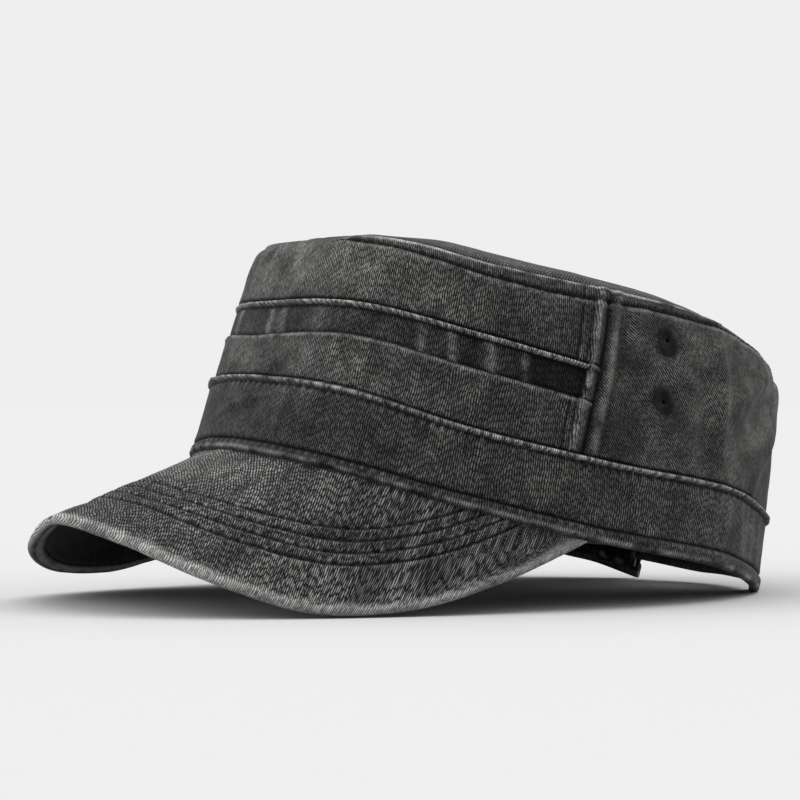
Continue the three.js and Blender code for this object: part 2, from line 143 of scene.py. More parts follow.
# Folds and dents of the wall: around, above, turn from upright, half length, half width, out
FOLDS = (
    (92.5, 60, 34, 9, 1.3, 0.45),
    (-6, 64, 20, 5, 3, -1.3),
    (5.5, 60, 35, 5, 3, -1.2),
    (14, 58, 40, 9, 2.5, 0.9),
    (-17, 60, 8, 10, 4, 0.7),
    (24, 60, 25, 9, 4, -0.6),
    (33, 64, 60, 8, 2.2, 0.5),
    (5.5, 16, 74, 15, 1.3, 0.9),
    (5.5, 13.5, 74, 13, 2.2, -0.6),
    (30, 14, 80, 12, 2, 0.45),
    (52, 12, -70, 12, 2.5, 0.4),
    (12, 28, 20, 5, 4, -0.9),
    (-16, 29, 0, 7, 1.6, 0.6),
    (-7, 28, 0, 7, 1.6, 0.6),
    (38, 32, 40, 8, 2.5, -0.5),
    (58, 31, -30, 8, 2.5, 0.45),
    (90.8, 58, 22, 19, 2.0, 1.3),
    (96, 50, 24, 14, 2.6, -0.6),
    (115.5, 50, -2, 24, 2.4, 1.2),
    (110, 46, -4, 22, 3.4, -1.0),
    (143, 68, 90, 36, 10, 1.9),
    (133, 55, 55, 17, 4, -2.9),
    (127, 61, 55, 14, 3, 1.7),
    (139, 47, 50, 14, 3, 1.7),
    (127, 40, 62, 12, 2.4, 0.9),
    (123, 36, 25, 10, 3, -1.2),
    (132, 34, 35, 9, 2.4, 0.9),
    (121, 71, 60, 7, 2, -1.4),
    (146, 66, 20, 9, 3.4, 1.0),
    (119, 12, 8, 10, 2, 0.6),
    (125, 14, -4, 10, 2, 0.7),
    (130, 12, 6, 10, 2, -0.7),
    (136, 13, 0, 9, 2, 0.6),
    (-100, 52, 12, 20, 3, 0.9),
    (-108, 44, 10, 20, 4, -1.0),
    (-126, 54, -40, 15, 4.5, -1.9),
    (-133, 46, -42, 14, 4, 1.1),
    (-60, 62, 30, 9, 4, -0.8),
    (-40, 30, -10, 8, 4, -0.6),
)

# How light the wall is, a value every 30 degrees from the front to the back: partly the wash, partly painted
# light and shade that darkens the sides
WASH_AND_PAINTED_LIGHT = (1.1, 0.98, 0.82, 0.8, 0.9, 1.0, 1.0)

# Lighter and darker stretches of the wall, partly faded cloth and partly painted light and shade, such as the
# lighter upper front and back: around, above, half length around, half height, change
FADED_AND_PAINTED_LIGHT = (
    (4, 64, 42, 13, 1.15),
    (8, 34, 50, 8, 0.2),
    (-7, 66, 7, 3.6, -0.75),
    (2.5, 62.5, 7, 4.2, -0.7),
    (-14, 58, 8, 5, -0.35),
    (9, 57, 6, 9, 0.3),
    (-25, 60, 30, 20, 0.5),
    (38, 64, 22, 10, 0.25),
    (12, 30, 30, 9, 0.15),
    (-2, 10, 50, 13, -0.38),
    (35, 10, 40, 12, -0.2),
    (75, 12, 36, 12, 0.05),
    (135, 10, 22, 14, 0.3),
    (135, 60, 26, 20, 0.75),
    (118, 40, 12, 22, 0.15),
    (78, 62, 16, 10, -0.12),
    (-110, 60, 40, 20, 0.25),
)

# Light creases worn across the strip: around, half width in degrees, strength
STRIP_CREASES = (
    (-15, 1.8, 0.45),
    (4, 0.9, 0.55),
    (8.6, 1.1, 0.45),
    (20, 2.5, 0.2),
    (45.5, 0.9, 0.5),
    (52.4, 0.8, 0.6),
    (60.6, 1.1, 0.75),
    (68.2, 0.8, 0.6),
    (-38, 1.2, 0.5),
    (-52, 0.9, 0.6),
    (-70, 1.1, 0.5),
)


def smooth_step(value, low, high):
    """A smooth rise from 0 at the low value to 1 at the high one"""
    share = np.clip((value - low) / (high - low), 0, 1)
    return share * share * (3 - 2 * share)


def hump(distance, middle, width):
    """A rounded bump, 1 high at its middle"""
    return np.exp(-(((distance - middle) / width) ** 2))


def along(values, position, step, odd=False):
    """A smooth value between evenly spaced values, mirrored past their ends"""
    values = np.asarray(values, float)
    last = len(values) - 1
    position = np.asarray(position, float)
    share = np.minimum(np.abs(position) / step, last)
    index = np.minimum(np.floor(share).astype(int), last - 1)
    t = share - index

    def row(i):
        inside = np.where(i < 0, -i, np.where(i > last, 2 * last - i, i))
        return values[inside] * np.where((i < 0) & odd, -1.0, 1.0)

    a, b, c, d = row(index - 1), row(index), row(index + 1), row(index + 2)
    smooth = b + 0.5 * t * (c - a + t * (2 * a - 5 * b + 4 * c - d + t * (3 * (b - c) + d - a)))
    return np.where((position < 0) & odd, -smooth, smooth)


def noise(x, y, seed):
    """Smooth noise from -1 to 1, over cells one unit wide"""
    lattice = np.random.default_rng(seed).uniform(-1, 1, (NOISE_CELLS, NOISE_CELLS))
    xi, yi = np.floor(x).astype(int), np.floor(y).astype(int)
    tx, ty = x - xi, y - yi
    tx = tx * tx * tx * (tx * (tx * 6 - 15) + 10)
    ty = ty * ty * ty * (ty * (ty * 6 - 15) + 10)

    def corner(right, up):
        return lattice[(xi + right) % NOISE_CELLS, (yi + up) % NOISE_CELLS]

    low = corner(0, 0) * (1 - tx) + corner(1, 0) * tx
    high = corner(0, 1) * (1 - tx) + corner(1, 1) * tx
    return low * (1 - ty) + high * ty


def layered(x, y, layers):
    """Noise in layers, each given by its strength, the length and width of its cells, and its seed"""
    return sum(strength * noise(x / length, y / width, seed) for strength, length, width, seed in layers)


def rolled(distance, radius):
    """How far in a rounded edge falls at a distance from its end"""
    inside = np.clip(radius - distance, 0, radius)
    return radius - np.sqrt(radius * radius - inside * inside)


# Levels and faces of the crown

def folded(around):
    """The same angle, from -180 to 180"""
    return (np.asarray(around, float) + 180) % 360 - 180


def level(name, around):
    return along(LEVELS[name], folded(around), 30)


def hem_line(around):
    """The foot of the wall, lifted a little on the wearer's right behind the peak"""
    side = np.mod(around, 360)
    lift = smooth_step(side, 196, 216) * (1 - smooth_step(side, 236, 268))
    return HEM_SWEEP * level("hem_line", around) + RIGHT_HEM_LIFT * lift


def hem_top(around):
    return hem_line(around) + HEM_HEIGHT * level("hem_top", around)


def band_top(around):
    return hem_line(around) + BAND_HEIGHT * level("band", around)


def strip_foot(around):
    return hem_line(around) + STRIP_FOOT_HEIGHT * level("strip_foot", around)


def strip_head(around):
    return strip_foot(around) + STRIP_WIDTH * level("strip", around)


def top_edge(around):
    return HEM_SWEEP * level("hem_line", around) + CROWN_HEIGHT * level("edge", around)


def soft_front(around):
    """Where the crown's edge rolls over softly at the front, as a share"""
    side = folded(around)
    return smooth_step(side, -85, -60) * (1 - smooth_step(side, 12, 28))


def edge_roll(around):
    """How softly the top edge rolls over"""
    behind = smooth_step(np.abs(folded(around)), 104, 118)
    return 0.9 + np.maximum(4.8 * soft_front(around), 0.8 * behind)


def on_top_fold(name, around, at_front):
    """A value of the turned top edge, which takes one value where the front is soft"""
    share = soft_front(around)
    return along(TOP_FOLD[name], folded(around), 15) * (1 - share) + at_front * share


def crest(around):
    return top_edge(around) + on_top_fold("crest", around, -0.2)


def stitch_drop(around):
    return on_top_fold("stitch", around, 0.9)


def seam_stitch(above):
    """How far from the side seam its stitches run"""
    up = np.clip(above / CROWN_HEIGHT, 0, 1)
    return SEAM_STITCH_AT_HEM + (SEAM_STITCH_AT_TOP - SEAM_STITCH_AT_HEM) * up


def share_up(around, height):
    foot = hem_line(around)
    return (height - foot) / (top_edge(around) - foot)


def crown_face(around, height):
    """Points of the wall's true outer face"""
    up = share_up(around, height)
    shoulder = np.clip(up, 0, 1) ** SHOULDER_SHARPNESS
    side = OPENING_SIDE - SIDE_LEAN * up - SIDE_SHOULDER * shoulder
    front = OPENING_FRONT - FRONT_LEAN * up - FRONT_SHOULDER * shoulder
    back = OPENING_BACK - BACK_LEAN * up - BACK_SHOULDER * shoulder
    angle = np.radians(around)
    length = np.where(np.cos(angle) > 0, front, back)
    return np.stack([side * np.sin(angle), -length * np.cos(angle), height + 0 * side], -1)


def unit(vectors):
    return vectors / np.maximum(np.linalg.norm(vectors, axis=-1, keepdims=True), 1e-9)


def crown_normal(around, height, step=0.2):
    sideways = crown_face(around + step, height) - crown_face(around - step, height)
    upward = crown_face(around, height + step) - crown_face(around, height - step)
    return unit(np.cross(sideways, upward))


def crown_point(around, height, out):
    return crown_face(around, height) + crown_normal(around, height) * np.asarray(out)[..., None]


def seam_angle(height):
    up = np.clip(share_up(SEAM_ANGLE_AT_HEM, height), 0, 1)
    return SEAM_ANGLE_AT_HEM + (SEAM_ANGLE_AT_TOP - SEAM_ANGLE_AT_HEM) * up


def arch_angle(height):
    """Where the rear panels end at the arched opening"""
    up = np.clip((height - hem_line(180)) / ARCH_HEIGHT, 0, 1)
    half = ARCH_HALF_WIDTH * np.sqrt(1 - up * up)
    return 180 - np.degrees(np.arcsin(half / OPENING_SIDE)) - 0.1


def tilted(points, degrees=REST_TILT):
    """Points of the upright cap tilted back to its rest, or forward again by the same angle below 0"""
    turn = math.radians(degrees)
    x, y, z = points[..., 0], points[..., 1], points[..., 2]
    back = y * math.cos(turn) + z * math.sin(turn)
    return np.stack([x, back, z * math.cos(turn) - y * math.sin(turn)], -1)


def rest_lift():
    around = np.arange(110, float(arch_angle(hem_line(180))), 1)
    return -tilted(crown_face(around, hem_line(around)))[..., 2].min() - REST_PRESS


REST_LIFT = rest_lift()


def at_rest(points):
    """The same points in the row frame, in metres"""
    rested = tilted(points)
    rested[..., 2] = np.maximum(rested[..., 2] + REST_LIFT, 0)
    rested[..., 1] += MIDDLE_SHIFT
    return rested / 1000


# Soft shape of the washed cloth

def soft_form(around, above):
    """How far the wall stands out of its true face, from its folds, dents and softness"""
    x, y = folded(around) * ARC, np.asarray(above)
    out = layered(x, y, ((0.55, 26, 22, 1), (0.26, 11, 10, 2), (0.1, 4.5, 5, 3)))
    for middle, height, turn, length, width, depth in FOLDS:
        dx = folded(around - middle) * ARC
        dy = y - height
        lean = math.radians(turn)
        down = dx * math.sin(lean) + dy * math.cos(lean)
        across = dx * math.cos(lean) - dy * math.sin(lean)
        out = out + depth * np.exp(-((down / length) ** 2) - (across / width) ** 2)
    return out


def faded_and_painted_light(around, above):
    """How much lighter or darker the wall is, as a factor: partly washed-out cloth, partly painted light and
    shade
    """
    factor = along(WASH_AND_PAINTED_LIGHT, folded(around), 30) + 0 * np.asarray(above, float)
    for middle, height, length, half, change in FADED_AND_PAINTED_LIGHT:
        across = folded(around - middle) * ARC / length
        factor = factor + change * np.exp(-(across**2) - ((above - height) / half) ** 2)
    return factor


def puckers(x, pitch, seed):
    """Small ripples across a line of stitches"""
    drift = 0.35 * noise(x / (4 * pitch), 0 * x + 0.5, seed)
    strength = 0.6 + 0.4 * noise(x / (2.5 * pitch), 0 * x, seed + 1)
    return np.sin(2 * math.pi * (x / pitch + drift)) * strength


def stitched(distance, x, seed, pitch=3.1, depth=0.4, reach=2.4):
    """A groove drawn in by stitches, with ripples to both sides"""
    groove = -depth * hump(distance, 0, GROOVE)
    return groove + 0.16 * puckers(x, pitch, seed) * hump(distance, 0, reach)


def patchy(x, y, size, seed):
    """A worn look: a share from 0 to 1 that comes and goes"""
    large = 0.6 * noise(x / size, y / size, seed)
    small = 0.35 * noise(x * 2.7 / size, y * 2.7 / size, seed + 1)
    return np.clip(0.55 + large + small, 0, 1)


# Meshes

def shares(length, step, fine=()):
    """Positions from 0 to 1 along a length, closer together over its fine stretches"""
    marks = [np.arange(0, length, step), [length]]
    for start, stop, small in fine:
        marks.append(np.arange(start, stop, small))
    marks = np.unique(np.round(np.concatenate(marks), 2))
    keep = [marks[0]]
    for mark in marks[1:-1]:
        if mark - keep[-1] > 0.18 and length - mark > 0.15:
            keep.append(mark)
    return np.array(keep + [length]) / length


def link(thing):
    bpy.context.scene.collection.objects.link(thing)
    return thing


def mesh_object(name, points, faces, values, material, nodes=()):
    """A smooth mesh that rides on the cap, with a value for each of its points by name"""
    mesh = bpy.data.meshes.new(name)
    mesh.from_pydata(points.reshape(-1, 3).tolist(), [], faces)
    mesh.update()
    mesh.polygons.foreach_set("use_smooth", [True] * len(mesh.polygons))
    for key, value in values.items():
        is_vector = value.ndim > 1 and value.shape[-1] == 3
        attribute = mesh.attributes.new(key, "FLOAT_VECTOR" if is_vector else "FLOAT", "POINT")
        attribute.data.foreach_set("vector" if is_vector else "value", value.astype(np.float32).ravel())
    mesh.materials.append(material)
    piece = link(bpy.data.objects.new(f"{name}_cloth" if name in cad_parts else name, mesh))
    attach(piece, "root")
    if nodes:
        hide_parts(*nodes)
    return piece


def quads(columns, rows, start, flip=False):
    """The faces of a grid of points"""
    i, j = np.meshgrid(np.arange(columns - 1), np.arange(rows - 1), indexing="ij")
    a = start + i * rows + j
    corners = [a, a + rows, a + rows + 1, a + 1]
    if flip:
        corners.reverse()
    return np.stack(corners, -1).reshape(-1, 4)


def strip_quads(first, second):
    """The faces between two lines of points"""
    return np.stack([first[1:], first[:-1], second[:-1], second[1:]], -1)


def sheet_object(name, outer, inner, values, material, nodes, holes=()):
    """A closed piece of cloth from a fine outer face and a coarse inner face of the same columns"""
    columns, rows = outer.shape[:2]
    inner_rows = inner.shape[1]
    base = columns * rows
    faces = [quads(columns, rows, 0), quads(columns, inner_rows, base, flip=True)]
    first, last = np.arange(columns) * rows, np.arange(columns) * rows + rows - 1
    inner_first = base + np.arange(columns) * inner_rows
    inner_last = inner_first + inner_rows - 1
    faces += [strip_quads(first, inner_first), strip_quads(inner_last, last)]
    faces = np.concatenate(faces)
    points = np.concatenate([outer.reshape(-1, 3), inner.reshape(-1, 3)])
    for centre, radius in holes:
        far = np.linalg.norm(points[faces].mean(1) - centre, axis=1) > radius
        faces = faces[far]
    listed = faces.tolist()
    near_end = list(range(rows)) + [base + inner_rows - 1 - k for k in range(inner_rows)]
    far_start, far_inner = (columns - 1) * rows, base + (columns - 1) * inner_rows
    far_end = [far_start + rows - 1 - k for k in range(rows)] + [far_inner + k for k in range(inner_rows)]
    listed += [near_end, far_end]
    full = {}
    for key, value in values.items():
        flat = value.reshape(columns, rows, -1)
        picked = flat[:, np.linspace(0, rows - 1, inner_rows).round().astype(int)]
        joined = np.concatenate([flat.reshape(base, -1), picked.reshape(columns * inner_rows, -1)])
        full[key] = joined[:, 0] if joined.shape[1] == 1 else joined
    return mesh_object(name, points, listed, full, material, nodes)


def wall_piece(name, ends, levels, lengths, look, material, inset=0.0, fine_rows=(),
               fine_columns=(), seed=0.0, holes=(), row_step=0.6, lap=0.0, tuck=0.0):
    """A strip of the crown's wall between two slanting ends and two levels"""
    start, end = ends
    foot, head = levels
    across, up = lengths
    u = shares(across, 0.85, fine_columns)[:, None]
    v = shares(up, row_step, fine_rows)[None, :]

    def grid(rows):
        around = start(0.0) + (end(0.0) - start(0.0)) * u + 0 * rows
        height = foot(around) + (head(around) - foot(around)) * rows
        for _ in range(4):
            around = start(height) + (end(height) - start(height)) * u
            height = foot(around) + (head(around) - foot(around)) * rows
        return around, height

    around, height = grid(v)
    place = {
        "around": around,
        "x": around * ARC,
        "above": height - hem_line(around),
        "from_foot": height - foot(around),
        "from_head": head(around) - height,
        "from_start": (around - start(height)) * ARC,
        "from_end": (end(height) - around) * ARC,
    }
    out, wear, shade = look(place)
    outer = at_rest(crown_point(around, height, out - inset))
    inner_rows = np.linspace(0, 1, 5)[None, :]
    inner_around, inner_height = grid(inner_rows)
    over_peak = 1 - smooth_step(np.abs(inner_around), 84, 92)
    inner_height = inner_height + lap * inner_rows - tuck * (1 - inner_rows) * over_peak
    inner = at_rest(crown_point(inner_around, inner_height, 0 * inner_around - inset - CLOTH))
    blurred_behind = smooth_step(np.abs(folded(around)), 110, 128)
    blurred_ahead = 0.8 * (1 - smooth_step(around, 8, 34))
    values = {
        "cloth": np.stack([place["x"], height, 0 * height + seed], -1),
        "wear": np.clip(wear, 0, 1),
        # Shade: painted shade in grooves, joints and dents, times the wall's lighter and darker stretches,
        # which are partly painted light
        "shade": np.clip(shade * faded_and_painted_light(around, place["above"]), 0, 3),
        "blur": 0.6 * np.maximum(blurred_behind, blurred_ahead) + 0 * around,
    }
    return sheet_object(name, outer, inner, values, material, (name,), holes)


# How each strip of the wall looks: how far it stands out, how worn it is, and how dark, mostly as painted
# shade in its grooves, joints and dents

def top_fold(p, seed):
    """The turned top edge, with its line of stitches and painted shade in their groove"""
    x, d = p["x"], p["from_head"]
    stitch = stitch_drop(p["around"])
    roll = edge_roll(p["around"])
    crisp = 1 - smooth_step(roll, 1.4, 2.6)
    lumps = 0.25 * noise(x / 6.5, 0 * x, seed + 3)
    out = (0.75 + lumps) * crisp * (1 - smooth_step(d, stitch - 0.5, stitch + 0.1)) - rolled(d, roll)
    out = out + stitched(d - stitch, x, seed, depth=0.5) * (0.3 + 0.7 * crisp)
    out = out + 0.25 * crisp * hump(d, 0.9, 0.6)
    worn = patchy(x, d, 5, seed + 5)
    wear = (0.25 + 0.75 * crisp) * worn * hump(d, 0.6, 0.6)
    wear = wear + 0.12 * crisp * worn * hump(d, 0.6 * stitch, 1)
    wear = wear + 0.4 * crisp * patchy(x, d, 2.4, seed + 8) * hump(d, stitch + 1.0, 0.7)
    # Painted shade in the stitch groove and, where the edge is crisp, between the crest and the stitches
    shade = 1 - 0.95 * hump(d, stitch, 0.4) - 0.3 * crisp * hump(d, 0.6 * stitch, 0.8)
    return out, wear, shade


def seam_fold(distance, x, y, seed):
    """The felled side seam seen from the front panel: a worn fold and a line of stitches, with painted shade
    in the seam, in the stitch groove and beside the fold
    """
    stitch = seam_stitch(y)
    out = 0.45 * (1 - smooth_step(distance, SEAM_FOLD - 0.4, SEAM_FOLD + 0.6))
    out = out - 1.3 * hump(distance, 0, 1.2)
    out = out + 0.75 * hump(distance, SEAM_FOLD - 0.6, 1.0) - 0.4 * hump(distance, SEAM_FOLD + 1.2, 0.7)
    out = out + stitched(distance - stitch, y, seed, depth=0.5, reach=1.8)
    out = out + 0.3 * puckers(y, 3.4, seed + 4) * hump(distance, SEAM_FOLD - 0.6, 1.6)
    worn = patchy(y, x, 4, seed)
    wear = 0.5 * worn * hump(distance, SEAM_FOLD - 0.8, 1.3) + 0.25 * worn * hump(distance, stitch - 1, 0.6)
    # Painted shade in the seam, in the stitch groove and beside the fold
    shade = 1 - 0.95 * hump(distance, 0, 1.5) - 0.9 * hump(distance, stitch, 0.45)
    shade = shade - 0.6 * hump(distance, SEAM_FOLD + 1.2, 0.6) - 0.3 * hump(distance, 2.6, 0.8)
    return out, wear, np.maximum(shade, 0.03)


def to_seam(p):
    """The distance to the nearer end of the strip"""
    return np.minimum(p["from_start"], p["from_end"])


def joint_shade_line(p):
    """Painted shade: the sharp dark line where a panel meets the bead below it"""
    return 1 - 0.97 * hump(p["from_foot"], 0, 0.65) - 0.02 * hump(p["from_foot"], 1.2, 0.6)


def upper_look(p):
    """The front's upper panel"""
    out, wear, shade = top_fold(p, 20)
    seam_out, seam_wear, seam_shade = seam_fold(to_seam(p), p["x"], p["above"], 30)
    out = out + seam_out + soft_form(p["around"], p["above"]) - 1.0 * hump(p["from_foot"], 0, 0.5)
    return out, wear + seam_wear, shade * seam_shade * joint_shade_line(p)


def rope(x, d, seed):
    """The rubbed look of a bead of cloth: slanting flecks with dark gaps"""
    slant = np.sin(2 * math.pi * (x / 1.25 + d / 2.2 + 0.5 * noise(x / 3, 0 * x, seed)))
    return np.clip(0.5 + 0.6 * slant, 0, 1) * (0.35 + 0.65 * patchy(x, d, 4, seed + 1))


def bead_form(d):
    """The round of the bead at a strip's top edge"""
    return np.sqrt(np.clip(1 - ((d - BEAD / 2) / (BEAD / 2 + 0.05)) ** 2, 0, 1))


def strip_look(p):
    """The dark inset strip, with its bead and the light creases across it"""
    x, d = p["x"], p["from_head"]
    folded_over = 1 - smooth_step(to_seam(p), SEAM_FOLD - 0.3, SEAM_FOLD + 0.3)
    bead = bead_form(d)
    out = (0.9 + 0.8 * smooth_step(p["around"], -20, 5)) * bead * (1 - 0.6 * folded_over)
    out = out - 0.3 * hump(d, BEAD + 0.5, 0.5)
    out = out + 1.0 * folded_over + 0.14 * puckers(x, 2.9, 41) * hump(d, BEAD, 2.2)
    out = out - 0.3 * hump(p["from_foot"], 0.2, 0.5) + soft_form(p["around"], p["above"])
    creases = 0 * x
    for middle, width, strength in STRIP_CREASES:
        lean = p["around"] - middle - 0.12 * (d - 5)
        creases = creases + strength * hump(lean, 0, width) * smooth_step(d, 1.6, 3)
    out = out + 0.35 * creases
    wear = 1.2 * bead * rope(x, d, 43) + 0.55 * creases * patchy(x, d, 1.6, 44)
    dark = 0.74 - 0.44 * smooth_step(np.abs(p["around"]), 63, 71) - 0.2 * patchy(x, 0 * x, 12, 47)
    dark = dark - 0.25 * hump(p["around"], 56.5, 2.2)
    # Painted shade under the bead and in the joint at the strip's foot
    shade = dark + 0.9 * creases - 0.4 * hump(d, BEAD + 0.5, 0.6) - 0.5 * hump(p["from_foot"], 0, 0.5)
    seam_out, seam_wear, seam_shade = seam_fold(to_seam(p), x, p["above"], 30)
    shade = np.where(bead > 0.1, 1.0, shade) * (1 - folded_over) + seam_shade * folded_over
    # Painted shade in the joint above the bead
    shade = shade * (1 - 0.95 * hump(d, -0.15, 0.35))
    wear = wear * (1 - 0.7 * folded_over) + seam_wear * folded_over
    return out + seam_out * folded_over, wear, np.maximum(shade, 0.04)


def lower_look(p):
    """The front's lower panel"""
    x, d = p["x"], p["from_head"]
    seam_out, seam_wear, seam_shade = seam_fold(to_seam(p), x, p["above"], 30)
    out = soft_form(p["around"], p["above"]) - rolled(d, 0.7) + 0.3 * hump(d, 1.1, 0.8)
    out = out - 1.0 * hump(p["from_foot"], 0, 0.5) + 0.12 * puckers(x, 3.3, 51) * hump(d, 0, 2.5)
    wear = 0.4 * patchy(x, d, 3, 52) * hump(d, 0.9, 0.6) + seam_wear
    # Painted shade in the seam, in the joints at the panel's head and foot, and in the dent 12 degrees round
    # and 28 mm up
    shade = seam_shade * joint_shade_line(p) * (1 - 0.9 * hump(d, 0, 0.35))
    shade = shade * (1 - 0.45 * hump(p["around"], 12, 3.5) * hump(p["above"], 28, 4))
    return out + seam_out, wear, shade


def rear_look(p, side):
    """A rear panel, with its side seam, its arched edge and the dents round its eyelets, and painted shade
    round the eyelets, in the seam, in the hollow beyond its ridge, at its foot and in the stitch groove by
    the arch
    """
    x, d = p["x"], p["from_head"]
    from_seam = p["from_start"] if side > 0 else p["from_end"]
    from_arch = p["from_end"] if side > 0 else p["from_start"]
    out, wear, shade = top_fold(p, 60 if side > 0 else 80)
    ridge = hump(from_seam, SEAM_BACK_RIDGE, 1.5)
    out = out + (0.6 + 0.3 * puckers(p["above"], 6, 62)) * ridge - 1.2 * hump(from_seam, 0, 1.1)
    out = out - 0.5 * hump(from_seam, SEAM_BACK_RIDGE + 2.4, 1.2) - 1.0 * hump(p["from_foot"], 0, 0.5)
    out = out + soft_form(p["around"], p["above"]) - rolled(from_arch, 0.8)
    out = out + stitched(from_arch - EDGE_STITCH, p["above"], 66, depth=0.3)
    eyelet = side * EYELET_ANGLE + (0 if side > 0 else 360)
    for height in (UPPER_EYELET_HEIGHT, LOWER_EYELET_HEIGHT):
        far = np.hypot(x - eyelet * ARC, p["above"] - height)
        out = out - 0.4 * hump(far, 0, EYELET_RADIUS + 0.4)
        # Painted shade round the eyelet's ring
        shade = shade * (1 - 0.6 * hump(far, EYELET_RADIUS + 0.2, 0.6))
    wear = wear + 0.35 * ridge * patchy(p["above"], x, 6, 64)
    wear = wear + 0.4 * patchy(p["above"], x, 5, 67) * hump(from_arch, 0.6, 0.6)
    # Painted shade in the seam and in the hollow beyond its ridge
    shade = shade * (1 - 0.95 * hump(from_seam, 0, 1.2))
    shade = shade * (1 - 0.35 * hump(from_seam, SEAM_BACK_RIDGE + 2.8, 1.3))
    return out, wear, shade * joint_shade_line(p) * (1 - 0.8 * hump(from_arch, EDGE_STITCH, GROOVE))


def band_look(p):
    """The folded band, with its bead, the ripples of its stitches and one worn crease, and painted shade
    under the bead, deeper in the ripples' hollows, in the joints at its top and foot and in the stitch groove
    by the arch
    """
    x, d = p["x"], p["from_head"]
    bead = bead_form(d)
    ripple = puckers(x, 3.3, 71)
    out = 1.35 * bead - 0.4 * hump(d, BEAD + 0.5, 0.5) + 0.34 * ripple * hump(d, BEAD + 1.4, 1.7)
    out = out + 0.3 + soft_form(p["around"], p["above"]) * smooth_step(p["above"], 2, 9)
    out = out - 0.5 * hump(p["from_foot"], 0, 0.6) + 0.16 * puckers(x, 3.7, 73) * hump(p["from_foot"], 0, 3)
    edge = to_seam(p)
    out = out - rolled(edge, 0.8) + stitched(edge - EDGE_STITCH, p["above"], 76, depth=0.3)
    wear = 1.0 * bead * rope(x, d, 74)
    wear = wear + 0.35 * np.clip(ripple, 0, 1) * patchy(x, d, 4, 78) * hump(d, BEAD + 1.6, 1.2)
    crease = hump(p["above"] - 15.9 - (p["around"] - 5.5) * 0.4, 0, 0.7) * hump(p["around"], 5.5, 11)
    wear = wear + 0.12 * crease * patchy(x, d, 3, 79)
    # Painted shade under the bead, deeper in the ripples' hollows, and in the joints and the stitch groove
    shade = 1 - 0.75 * hump(d, BEAD + 0.6, 0.75) * (0.7 - 0.3 * ripple)
    shade = shade - 0.85 * hump(p["from_foot"], 0, 0.5)
    shade = shade * (1 - 0.95 * hump(d, -HALF_GAP, 0.35)) * (1 - 0.8 * hump(edge, EDGE_STITCH, GROOVE))
    return out, wear, shade


def hem_look(p):
    """The folded hem under the band, with painted shade at its top under the band and at its foot, and darker
    over the peak
    """
    x, d, foot = p["x"], p["from_head"], p["from_foot"]
    ripple = puckers(x, 3.4, 91)
    out = 0.75 - 0.45 * hump(p["around"], 15, 50) - rolled(foot, 1.1) - 0.75 * hump(d, 0, 0.55)
    out = out + 0.2 * ripple * hump(d, 0, 3)
    out = out + 0.2 * noise(x / 9, foot / 4, 92)
    wear = 0.5 * patchy(x, foot, 5, 93) * hump(foot, 0.9, 0.8)
    wear = wear + 0.2 * np.clip(ripple, 0, 1) * hump(d, 1, 0.6)
    # Painted shade in the joint under the band and at the foot
    shade = (0.8 - 0.75 * hump(d, 0, 0.5)) * (1 - 0.4 * hump(p["around"], 15, 45))
    return out, wear, shade * (1 - 0.5 * hump(foot, 0, 1.3))


# Cloth, thread and metal

DEEP = (0.003, 0.003, 0.003)

# Places of the sockets A, B and Result on Blender's Mix node, for colours and for numbers
MIX_COLOURS = (6, 7, 2)
MIX_NUMBERS = (2, 3, 0)


class Graph:
    """A node material in the making"""

    def __init__(self, name):
        self.material = bpy.data.materials.new(name)
        self.material.use_nodes = True
        self.tree = self.material.node_tree
        self.shader = self.tree.nodes["Principled BSDF"]

    def put(self, socket, value):
        if isinstance(value, bpy.types.NodeSocket):
            self.tree.links.new(value, socket)
        elif value is not None:
            socket.default_value = value

    def node(self, kind, **settings):
        made = self.tree.nodes.new(kind)
        for key, value in settings.items():
            setattr(made, key, value)
        return made

    def math(self, operation, a, b=None, c=None, clamp=False):
        made = self.node("ShaderNodeMath", operation=operation, use_clamp=clamp)
        for socket, value in zip(made.inputs, (a, b, c)):
            self.put(socket, value)
        return made.outputs[0]

    def attribute(self, name, output="Fac"):
        return self.node("ShaderNodeAttribute", attribute_name=name).outputs[output]

    def mapped(self, vector, turn=0.0, scale=(1, 1, 1)):
        turned = self.node("ShaderNodeMapping")
        self.put(turned.inputs["Vector"], vector)
        turned.inputs["Rotation"].default_value = (0, 0, turn)
        sized = self.node("ShaderNodeMapping")
        self.put(sized.inputs["Vector"], turned.outputs[0])
        sized.inputs["Scale"].default_value = scale
        return sized.outputs[0]

    def noise(self, vector, scale, detail=2.0, roughness=0.5, output="Fac"):
        made = self.node("ShaderNodeTexNoise")
        self.put(made.inputs["Vector"], vector)
        made.inputs["Scale"].default_value = scale
        made.inputs["Detail"].default_value = detail
        made.inputs["Roughness"].default_value = roughness
        return made.outputs[output]

    def ramp(self, value, low, high, to_low=0.0, to_high=1.0):
        made = self.node("ShaderNodeMapRange", interpolation_type="SMOOTHSTEP")
        self.put(made.inputs["Value"], value)
        limits = {"From Min": low, "From Max": high, "To Min": to_low, "To Max": to_high}
        for key, number in limits.items():
            made.inputs[key].default_value = number
        return made.outputs["Result"]

    def mix(self, share, a, b, kind="RGBA"):
        made = self.node("ShaderNodeMix", data_type=kind)
        first, second, result = MIX_COLOURS if kind == "RGBA" else MIX_NUMBERS
        self.put(made.inputs["Factor"], share)
        self.put(made.inputs[first], a)
        self.put(made.inputs[second], b)
        return made.outputs[result]

    def bump(self, height, distance, strength):
        made = self.node("ShaderNodeBump")
        made.inputs["Strength"].default_value = strength
        made.inputs["Distance"].default_value = distance
        self.put(made.inputs["Height"], height)
        return made.outputs[0]

    def finish(self, surface):
        """Sets the shader's own sockets by name, and gives the material"""
        for key, value in surface.items():
            self.put(self.shader.inputs[key], value)
        return self.material


